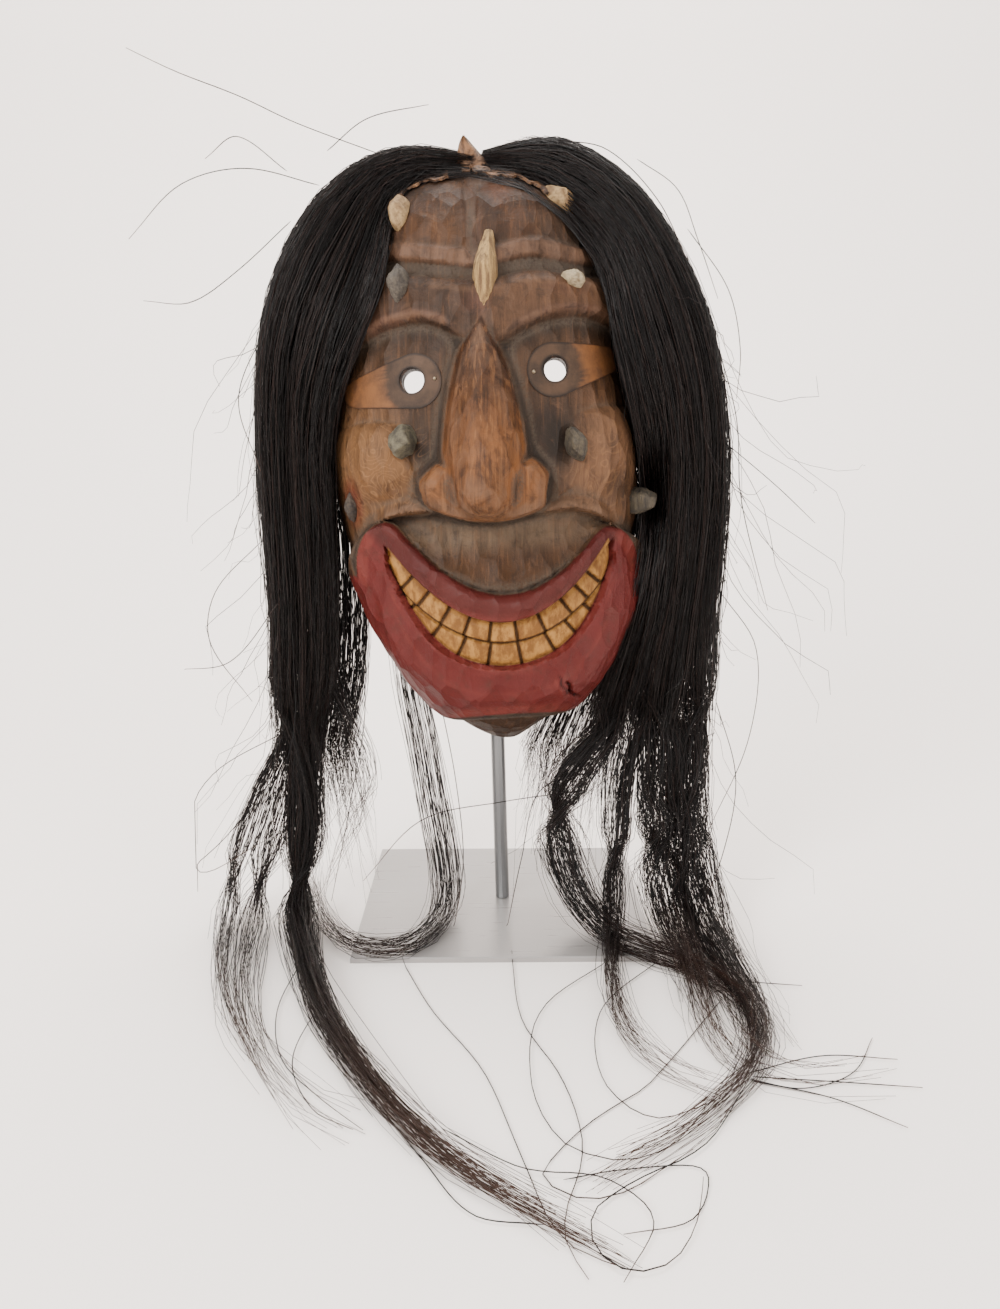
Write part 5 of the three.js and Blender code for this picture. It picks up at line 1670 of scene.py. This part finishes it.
    def loose(self, lock: Lock, count: int) -> None:
        """Grows a lock that keeps to its own path from its first point.

        Args:
            lock: The lock.
            count: How many strands.
        """
        rng = self.rng
        steps = np.linspace(0, 1, 26)
        middle, radius = self.even(lock.points, steps), through(lock.widths, steps)[None, :]
        turn = rng.uniform(0, 2 * math.pi, (count, 1)) + rng.normal(0, 1, (count, 1)) * steps[None, :]
        far = np.sqrt(rng.uniform(0, 1, (count, 1)))
        side = np.stack([np.cos(turn), 0.4 * np.sin(turn), 0.5 * np.sin(turn)], -1)
        control = middle[None] + side * (far * radius)[..., None] + self.wander(count, steps, 7.0)
        self.keep(control, rng.uniform(0.6, 1, count), 30, rng.uniform(0.13, 0.2, count))

    def flyaways(self, count: int) -> None:
        """Grows loose strands that stray outside the masses.

        Args:
            count: How many strands.
        """
        rng = self.rng
        sign = -1 if self.plan.side == "left" else 1
        across = rng.uniform(0.6, 1.02, (count, 1)) * np.ones((1, 7))
        depth = rng.uniform(0, 0.8, (count, 1)) * np.ones((1, 7))
        self.thick = rng.uniform(0, 1, count)
        end = rng.uniform(0.3, 0.98, (count, 1))
        top = self.upper(across, depth, 0.1 + (end - 0.1) * np.linspace(0, 1, 7)[None, :])
        way = top[:, -1] - top[:, -2]
        way /= np.linalg.norm(way, axis=1, keepdims=True)
        steps = np.linspace(0.1, 1, 9)[None, :, None]
        length = 25 + 200 * rng.uniform(0, 1, (count, 1, 1)) ** 2.5
        stray = rng.normal(0, 1, (count, 1, 3)) * np.array([0.5, 0.35, 0.3])
        stray = stray + np.array([0.3 * sign, -0.1, -0.3])
        low = top[:, -1:] + way[:, None] * length * steps * (1 - 0.4 * steps)
        low = low + stray * length * steps**2 * 0.5
        control = np.concatenate([top, low], 1)
        control = control + self.wander(count, np.linspace(0, 1, control.shape[1]), 9.0)
        self.keep(control, np.ones(count), 20, rng.uniform(0.15, 0.24, count))

    def given(self, paths: list) -> None:
        """Grows single strands along given paths.

        Args:
            paths: Paths as points in the row frame.
        """
        for path in paths:
            control = self.even(path, np.linspace(0, 1, 14))[None]
            self.keep(control, np.ones(1), 26, np.array([0.3]))

    def keep(self, control: np.ndarray, cut: np.ndarray, count: int, radius: np.ndarray) -> None:
        """Samples strands smoothly and keeps them for meshing.

        Args:
            control: Points that each strand runs through.
            cut: Share of each strand that is kept.
            count: Points on each finished strand.
            radius: Radius of each strand in millimetres.
        """
        low, high = np.array([-168, -308, 0.35]), np.array([178, 78, 430])
        places = np.linspace(0, 1, count)[None, :] * cut[:, None] * (control.shape[1] - 1)
        k = np.clip(places.astype(int), 0, control.shape[1] - 2)
        t = (places - k)[..., None]
        rows = np.arange(len(control))[:, None]
        p0, p1 = control[rows, np.maximum(k - 1, 0)], control[rows, k]
        p2, p3 = control[rows, k + 1], control[rows, np.minimum(k + 2, control.shape[1] - 1)]
        line = 0.5 * (2 * p1 + (p2 - p0) * t + (2 * p0 - 5 * p1 + 4 * p2 - p3) * t**2
                      + (3 * p1 - p0 - 3 * p2 + p3) * t**3)
        plate = (np.abs(line[..., 0]) < 80.5) & (np.abs(line[..., 1]) < 80.5)
        floor = np.where(plate, 3.4, 0.35) + self.rng.uniform(0, 1.6, (len(line), 1))
        line[..., 2] = np.maximum(line[..., 2], floor)
        line = np.clip(line, low, high)
        taper = np.interp(np.linspace(0, 1, count), (0, 0.04, 0.75, 1), (0.4, 1, 1.0, 0.6))[None, :]
        along = np.linspace(0, 1, count)[None, :] * cut[:, None] * (count > 20)
        tint = self.rng.uniform(0, 1, len(line)) ** 3
        self.batches.append((line, radius[:, None] * taper, along, tint))

    def mesh(self) -> list:
        """Makes the pieces of hair from the kept strands.

        Returns:
            The new objects, each below the limit of faces.
        """
        pieces, bundle = [], Bundle()
        for line, radius, along, tint in self.batches:
            per = (line.shape[1] - 1) * 6 + 2
            for first in range(0, len(line), STRANDS_AT_ONCE):
                part = slice(first, first + STRANDS_AT_ONCE)
                if bundle.faces + per * STRANDS_AT_ONCE > FACES_PER_PIECE:
                    pieces.append(bundle.build(f"hair_{self.plan.side}_strands_{len(pieces) + 1}"))
                    bundle = Bundle()
                bundle.take(self.tubes(line[part], radius[part]), along[part], tint[part])
        pieces.append(bundle.build(f"hair_{self.plan.side}_strands_{len(pieces) + 1}"))
        return pieces

    def tubes(self, line: np.ndarray, radius: np.ndarray) -> tuple:
        """Three-sided closed tubes along lines.

        Args:
            line: Points, strands by places.
            radius: Radius at each place.

        Returns:
            Points, four-sided faces and three-sided end faces.
        """
        tangent = np.gradient(line, axis=1)
        tangent /= np.maximum(np.linalg.norm(tangent, axis=-1, keepdims=True), 1e-9)
        side = np.cross(tangent, np.array([0.31, 0.93, 0.21]))
        side /= np.maximum(np.linalg.norm(side, axis=-1, keepdims=True), 1e-9)
        lift = np.cross(tangent, side)
        turn = self.rng.uniform(0, 2 * math.pi, (len(line), 1))
        rings = []
        for k in range(3):
            angle = turn + 2 * math.pi * k / 3
            out = np.cos(angle)[..., None] * side + np.sin(angle)[..., None] * lift
            rings.append(line + out * radius[..., None])
        points = np.stack(rings, 2)
        count, places = line.shape[:2]
        index = np.arange(count * places * 3).reshape(count, places, 3)
        after = np.roll(index, -1, 2)
        quads = np.stack([index[:, :-1], after[:, :-1], after[:, 1:], index[:, 1:]], -1).reshape(-1, 4)
        caps = np.concatenate([index[:, 0, ::-1], index[:, -1]])
        return points.reshape(-1, 3), quads, caps

    def core(self) -> bpy.types.Object:
        """Dark heart of the mass that the outer strands cover.

        Returns:
            The new object.
        """
        shares = np.linspace(0.04, 0.86, 44)
        inner, outer = self.even(self.plan.inner, shares), self.even(self.plan.outer, shares)
        middle, half = inner + (outer - inner) * 0.62, np.linalg.norm(outer - inner, axis=1) * 0.29
        sides = through(FRONT_BACK, shares)
        deep, centre_y = (sides[:, 1] - sides[:, 0]) / 2 * 0.7, sides.mean(1)
        close = np.sin(np.pi * np.clip((shares - 0.04) / 0.82, 0.0, 1.0)) ** 0.35
        way = (outer - inner) / np.linalg.norm(outer - inner, axis=1, keepdims=True)
        angle = np.linspace(0, 2 * math.pi, 48, endpoint=False)[None, :]
        groove = 1 + 0.05 * np.sin(angle * 9) + 0.03 * np.sin(angle * 17 + 1)
        size = (close[:, None] + 0.02) * groove
        flat = middle[:, None] + way[:, None] * (half[:, None] * size * np.cos(angle))[..., None]
        y = centre_y[:, None] + deep[:, None] * size * np.sin(angle)
        points = self.sightline(flat, y)
        count = points.shape[1]
        index = np.arange(points.shape[0] * count).reshape(-1, count)
        after = np.roll(index, -1, 1)
        quads = np.stack([index[:-1], after[:-1], after[1:], index[1:]], -1).reshape(-1, 4)
        ends = np.stack([index[0][::-1], index[-1]])
        piece = Shaping.mesh(f"hair_{self.plan.side}_core", points.reshape(-1, 3) * MM, [quads, ends])
        Shaping.store(piece, "tint", np.zeros(len(piece.data.vertices)))
        Shaping.store(piece, "along", np.zeros(len(piece.data.vertices)))
        Shaping.alone(piece)
        bpy.ops.object.mode_set(mode="EDIT")
        bpy.ops.mesh.select_all(action="SELECT")
        bpy.ops.mesh.normals_make_consistent(inside=False)
        bpy.ops.object.mode_set(mode="OBJECT")
        Shaping.smooth(piece, 60)
        return piece

    def build(self, finish: bpy.types.Material, given: list) -> list:
        """Grows this side's hair.

        Args:
            finish: The hair's material.
            given: Single strands along given paths.

        Returns:
            The finished pieces.
        """
        total = sum(lock.share for lock in self.plan.locks)
        for lock in self.plan.locks:
            self.strands(lock, int(self.plan.long_strands * lock.share / total))
        self.short(self.plan.short_strands)
        self.behind(self.plan.back_strands)
        for lock in self.plan.loose:
            self.loose(lock, int(950 * lock.share))
        self.flyaways(70)
        self.given(given)
        pieces = self.mesh()
        pieces.append(self.core())
        for number, piece in enumerate(pieces):
            piece.data.materials.append(finish)
            Shaping.belong(piece, "hair", *(self.plan.nodes if number == 0 else ()))
        return pieces


CHIN_LOCK = Lock(
    ((-84, 8, 330), (-74, 20, 290), (-66, 18, 240), (-58, 15, 180), (-52, 12, 125), (-46, 8, 96),
     (-42, 2, 72), (-36, -6, 42), (-32, -16, 16), (-34, -39, 9), (-45, -70, 8.5), (-60, -82, 8.5),
     (-78, -75, 8.5),
     (-98, -40, 5), (-116, 20, 3.5), (-126, 70, 3)),
    ((0, 5), (0.3, 9), (0.5, 10), (0.65, 7), (0.85, 5), (1, 4)), 0.1, (0.0, 0.4))
LEFT_HAIR = HairSide(
    side="left",
    inner=((-9, 402), (-34, 403), (-52, 393), (-57, 379), (-59, 362), (-65, 342), (-76, 317),
           (-85, 291), (-90, 265), (-90, 235), (-89, 205), (-90, 170), (-92, 138), (-99, 104)),
    outer=((-12, 412), (-46, 417), (-76, 408), (-91, 394), (-104, 378), (-114, 361), (-121, 341),
           (-127, 316), (-129, 290), (-130, 264), (-129, 235), (-128, 205), (-127, 170), (-128, 138),
           (-130, 104)),
    locks=(
        Lock(((-122, -12, 125), (-119, -12, 100), (-132, -17, 77), (-148, -20, 38), (-156, -26, 9),
              (-148, -80, 4), (-132, -129, 3), (-116, -166, 3), (-96, -204, 2.5), (-80, -235, 2)),
             ((0, 6), (0.15, 5), (0.3, 5), (0.8, 5), (1, 10)), 0.07, (0.7, 1.0)),
        Lock(((-118, -14, 125), (-117, -15, 100), (-124, -19, 67), (-135, -22, 34), (-139, -32, 9),
              (-132, -96, 5), (-123, -134, 4), (-112, -163, 4), (-94, -196, 3), (-73, -221, 2.5),
              (-57, -229, 2)),
             ((0, 7), (0.15, 6), (0.3, 6), (0.8, 5), (1, 10)), 0.085, (0.5, 0.95)),
        Lock(((-112, -12, 125), (-112, -12, 100), (-112, -17, 66), (-114, -22, 34), (-114, -36, 12),
              (-102, -85, 7), (-86, -135, 6.5), (-67, -177, 6), (-49, -209, 6), (-30, -237, 5.5),
              (-12, -256, 5), (19, -282, 4), (41, -299, 2)),
             ((0, 14), (0.12, 10), (0.25, 7.5), (0.5, 4), (0.8, 2.4), (1, 4)), 0.45, (0.0, 1.0)),
        Lock(((-98, -12, 170), (-92, -12, 134), (-84, -12, 110), (-79, -13, 92), (-79, -15, 73),
              (-87, -20, 54), (-97, -24, 32), (-101, -28, 12)),
             ((0, 4), (0.5, 5), (1, 4)), 0.07, (0.0, 0.3)),
    ),
    nodes=("hair_left", "locks_left", "lock_left_inner", "lock_behind_chin"),
    long_strands=1150, short_strands=1150, back_strands=430, loose=(CHIN_LOCK,), seed=11,
)
RIGHT_HAIR = HairSide(
    side="right",
    inner=((-16, 402), (4, 402), (16, 395), (38, 378), (53, 358), (59, 336), (62, 315), (70, 290),
           (75, 263), (78, 237), (75, 204), (69, 171), (56, 137), (44, 103)),
    outer=((-8, 414), (10, 421), (32, 420), (57, 408), (74, 395), (87, 378), (98, 358), (108, 336),
           (115, 315), (119, 290), (122, 263), (122, 237), (121, 204), (119, 171), (119, 137), (119, 103)),
    locks=(
        Lock(((60, -20, 125), (56, -20, 100), (40, -22, 84), (32, -24, 68), (32, -28, 50), (39, -38, 26),
              (50, -52, 13), (61, -70, 9), (81, -84, 7), (99, -98, 5.5), (111, -121, 5), (117, -148, 5),
              (107, -186, 5)),
             ((0, 10), (0.25, 9), (0.5, 5.5), (1, 5)), 0.2, (0.0, 0.35)),
        Lock(((72, -18, 125), (70, -18, 100), (64, -22, 76), (63, -30, 46), (62, -46, 20), (59, -68, 10),
              (55, -95, 6.5), (54, -142, 4.5), (61, -172, 4), (76, -196, 4), (94, -205, 4)),
             ((0, 10), (0.25, 8), (0.4, 4.4), (1, 4)), 0.16, (0.1, 0.6)),
        Lock(((88, -18, 125), (88, -18, 100), (88, -21, 70), (89, -28, 40), (90, -42, 16), (93, -85, 9),
              (92, -130, 7), (94, -165, 6), (103, -192, 5.5)),
             ((0, 13), (0.4, 10), (0.7, 7.5), (1, 5)), 0.26, (0.25, 0.85)),
        Lock(((104, -18, 125), (105, -18, 100), (103, -21, 72), (104, -28, 40), (107, -42, 16), (112, -88, 8),
              (117, -130, 6), (115, -165, 6), (103, -194, 5.5), (89, -210, 5), (72, -229, 4.5),
              (57, -240, 4), (39, -250, 3), (27, -262, 2)),
             ((0, 11), (0.3, 9), (0.6, 6), (0.85, 5.5), (1, 6)), 0.24, (0.5, 1.0)),
        Lock(((114, -16, 125), (114, -16, 100), (114, -16, 66), (115, -26, 34), (118, -50, 12),
              (116, -91, 5), (125, -130, 3.5), (131, -172, 2)),
             ((0, 6), (0.5, 5), (1, 4)), 0.08, (0.75, 1.0)),
        Lock(((104, -20, 125), (103, -20, 100), (102, -24, 60), (100, -34, 22), (100, -70, 8), (102, -130, 6),
              (104, -170, 5), (116, -196, 4.5), (134, -196, 4), (152, -192, 3), (169, -186, 2)),
             ((0, 8), (0.5, 5), (0.8, 4), (1, 10)), 0.06, (0.4, 0.9)),
    ),
    nodes=("hair_right", "locks_right"),
    long_strands=1600, short_strands=1400, back_strands=540, loose=(), seed=23,
)


@dataclass(frozen=True)
class StrayHairs:
    """Single hairs of one side, chosen as places in the photograph."""

    crown: tuple
    floor: tuple
    air: tuple

    @staticmethod
    def sight(across: float, down: float) -> np.ndarray:
        """Direction from the camera to a place in the photograph.

        Args:
            across: Pixels from the left.
            down: Pixels from the top.

        Returns:
            The direction, in the row frame.
        """
        drop = math.radians(CAMERA_DROP_DEG)
        right, low = (across - PHOTO_MIDDLE[0]) / PHOTO_FOCUS, (down - PHOTO_MIDDLE[1]) / PHOTO_FOCUS
        ahead = math.cos(drop) - low * math.sin(drop)
        return np.array([right, ahead, -math.sin(drop) - low * math.cos(drop)])

    def paths(self) -> list:
        """Lays the hairs on the floor and in the air in front of the mass.

        Returns:
            Paths as points in the row frame.
        """
        camera, found = np.array(CAMERA_AT), [np.array(path, float) for path in self.crown]
        for hair in self.floor:
            ways = [self.sight(*place) for place in hair]
            found.append(np.array([camera + way * (1.0 - camera[2]) / way[2] for way in ways]))
        for number, hair in enumerate(self.air):
            ways = [self.sight(*place) for place in hair]
            depths = [-30 - 4 * step - 3 * (number % 3) for step in range(len(ways))]
            found.append(np.array([camera + way * (y - camera[1]) / way[1] for way, y in zip(ways, depths)]))
        return found


LEFT_STRAYS = StrayHairs(
    crown=(
        ((-60, -20, 412), (-95, -60, 416), (-115, -95, 418), (-135, -120, 420), (-150, -135, 424)),
        ((-90, -30, 395), (-120, -60, 396), (-145, -85, 383), (-165, -100, 357)),
        ((-105, -30, 378), (-130, -50, 350), (-150, -60, 335), (-168, -75, 334)),
    ),
    floor=(
        ((300, 960), (275, 1010), (280, 1060), (320, 1100), (360, 1130)),
        ((320, 1000), (290, 1060), (310, 1110), (350, 1130)),
        ((400, 960), (430, 1010), (480, 1070), (520, 1160), (560, 1240), (625, 1270)),
        ((510, 955), (520, 1020), (560, 1080), (580, 1150), (560, 1230), (585, 1280)),
        ((440, 1130), (520, 1170), (600, 1180), (650, 1220), (620, 1285)),
        ((540, 1225), (470, 1215), (420, 1160), (380, 1110)),
    ),
    air=(
        ((262, 540), (216, 590), (210, 640), (252, 700)),
        ((285, 730), (215, 770), (188, 815), (198, 870), (262, 840)),
        ((280, 600), (230, 660), (174, 668)),
        ((350, 600), (365, 700), (350, 800), (330, 900)),
        ((440, 700), (455, 780), (462, 860), (452, 930)),
        ((300, 300), (262, 340), (240, 400), (262, 470)),
        ((330, 150), (370, 118), (432, 104)),
        ((290, 170), (240, 135), (208, 157)),
        ((270, 780), (220, 840), (160, 890)),
        ((590, 790), (500, 802), (420, 820), (362, 880)),
    ),
)
RIGHT_STRAYS = StrayHairs(
    crown=(),
    floor=(
        ((745, 1085), (700, 1150), (640, 1180), (590, 1215), (600, 1262), (650, 1275), (690, 1235),
         (700, 1180)),
        ((745, 1075), (820, 1058), (895, 1062)),
        ((750, 1078), (840, 1084), (920, 1090)),
        ((748, 1082), (830, 1100), (905, 1130)),
        ((745, 1080), (800, 1090), (850, 1075), (870, 1040)),
        ((700, 980), (760, 985), (800, 988)),
        ((720, 1000), (640, 1090), (590, 1120), (540, 1180), (600, 1200), (690, 1150)),
        ((610, 960), (540, 1010), (530, 1090), (570, 1150), (640, 1160), (720, 1110)),
        ((660, 960), (600, 1010), (600, 1080), (650, 1120), (720, 1100)),
        ((560, 1180), (620, 1170), (700, 1170), (690, 1220), (620, 1235)),
    ),
    air=(
        ((690, 230), (730, 290), (742, 350), (738, 400)),
        ((715, 330), (738, 420), (742, 500), (768, 612)),
        ((722, 440), (778, 488), (816, 525)),
        ((718, 590), (756, 650), (748, 740), (708, 830)),
        ((640, 160), (680, 190), (700, 240), (720, 300)),
        ((715, 700), (735, 780), (720, 860), (690, 930)),
        ((560, 140), (610, 150), (660, 200), (690, 262)),
        ((600, 770), (540, 790), (520, 860), (505, 930)),
    ),
)


class StandFinish:
    """Satin metal of the stand."""

    def build(self, name: str, colour: tuple, rough: float, metal: float) -> bpy.types.Material:
        """Makes a metal with faint brushing.

        Args:
            name: The material's name.
            colour: Display colour.
            rough: Mean roughness.
            metal: How metallic it is.

        Returns:
            The material.
        """
        s = Shader(name)
        brushed, smear = s.noise(500, 3, 0.6, (0.05, 1, 1)), s.noise(14, 4, 0.6)
        tone = s.mix(s.math("MULTIPLY", smear, 0.35), linear(*colour), linear(*(c * 0.86 for c in colour)))
        s.set(Base_Color=tone, Metallic=metal)
        s.set(Roughness=s.math("ADD", s.math("MULTIPLY", brushed, 0.16), rough - 0.08))
        s.set(Normal=s.bump(brushed, 0.1, 0.0002))
        return s.material

    def dress(self) -> None:
        """Gives the CAD plate and rod their finishes."""
        for node, slot, colour, rough, metal in (
            ("stand_plate", "plate_steel", (150, 147, 145), 0.3, 0.35),
            ("stand_rod", "rod_steel", (118, 119, 120), 0.36, 0.75),
        ):
            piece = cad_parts[node]
            piece.data.materials.clear()
            piece.data.materials.append(self.build(slot, colour, rough, metal))


@dataclass
class Studio:
    """Pale backdrop, soft lights and the photograph's camera."""

    backdrop: tuple = (250, 243, 238)
    lights: tuple = (
        ("key", (-0.95, -1.35, 0.95), 0.8, 44.0),
        ("fill", (1.1, -1.2, 0.5), 1.2, 12.0),
        ("back", (0.0, 0.55, 1.9), 1.6, 40.0),
    )
    aims: tuple = ((0, -0.03, 0.22), (0, -0.03, 0.2), (0, 1.2, 0.3))

    def build(self) -> None:
        """Sets up everything round the object."""
        self.build_backdrop()
        for (name, place, size, power), target in zip(self.lights, self.aims):
            lamp = bpy.data.lights.new(name, "AREA")
            lamp.shape, lamp.size, lamp.energy = "DISK", size, power
            lamp.color = (1.0, 0.985, 0.965)
            obj = bpy.data.objects.new(name, lamp)
            bpy.context.scene.collection.objects.link(obj)
            obj.location = place
            aim = Vector(target) - Vector(place)
            obj.rotation_euler = aim.to_track_quat("-Z", "Y").to_euler()
        world = bpy.data.worlds.new("studio")
        world.use_nodes = True
        background = world.node_tree.nodes["Background"]
        background.inputs[0].default_value = (1.0, 0.955, 0.925, 1)
        background.inputs[1].default_value = 1.8
        bpy.context.scene.world = world
        self.build_camera()

    def build_backdrop(self) -> None:
        """Makes one sheet that is floor in front and wall behind."""
        start, bend = 0.4, 0.9
        profile = [(-3.0, 0.0), (-1.0, 0.0), (start, 0.0)]
        for turn in np.linspace(0.1, math.pi / 2, 24):
            profile.append((start + bend * math.sin(turn), bend - bend * math.cos(turn)))
        profile += [(start + bend, 2.0), (start + bend, 4.0)]
        places = np.array([(x, y, z) for y, z in profile for x in (-4.0, 4.0)])
        count = len(profile)
        faces = np.array([(2 * k, 2 * k + 1, 2 * k + 3, 2 * k + 2) for k in range(count - 1)])
        sheet = Shaping.mesh("backdrop", places, [faces])
        sheet.data.polygons.foreach_set("use_smooth", np.ones(count - 1, bool))
        s = Shader("backdrop")
        s.set(Base_Color=linear(*self.backdrop), Roughness=0.9)
        s.surface.inputs["Specular IOR Level"].default_value = 0.1
        sheet.data.materials.append(s.material)

    def build_camera(self) -> None:
        """Places the camera that took the photograph."""
        data = bpy.data.cameras.new("camera")
        data.sensor_width, data.lens = CAMERA_SENSOR, CAMERA_LENS
        camera = bpy.data.objects.new("camera", data)
        bpy.context.scene.collection.objects.link(camera)
        tilt = Matrix.Rotation(math.radians(90 - CAMERA_DROP_DEG), 4, "X")
        turn = tilt @ Matrix.Rotation(math.radians(CAMERA_ROLL_DEG), 4, "Z")
        camera.matrix_world = Matrix.Translation([c * MM for c in CAMERA_AT]) @ turn
        bpy.context.scene.camera = camera


def main() -> None:
    """Builds the object and its studio, and reports each piece."""
    logging.basicConfig(level=logging.INFO, format="%(message)s")
    pieces = [CarvedMask().build()]
    pieces += [stone.build() for stone in STONES]
    for plate in EYE_PLATES:
        pieces += [plate.build(), plate.build_nail()]
    pieces += [RawhideStrip("left", 97, 132, False).build(), RawhideStrip("right", 93, 44, True).build()]
    hair = HairFinish().build()
    pieces += HairGrower(LEFT_HAIR).build(hair, LEFT_STRAYS.paths())
    pieces += HairGrower(RIGHT_HAIR).build(hair, RIGHT_STRAYS.paths())
    StandFinish().dress()
    Studio().build()
    total = 0
    for piece in pieces:
        piece.data.calc_loop_triangles()
        total += len(piece.data.loop_triangles)
        LOG.info("%s: %d triangles", piece.name, len(piece.data.loop_triangles))
    LOG.info("all new pieces: %d triangles", total)


if __name__ == "__main__":
    main()
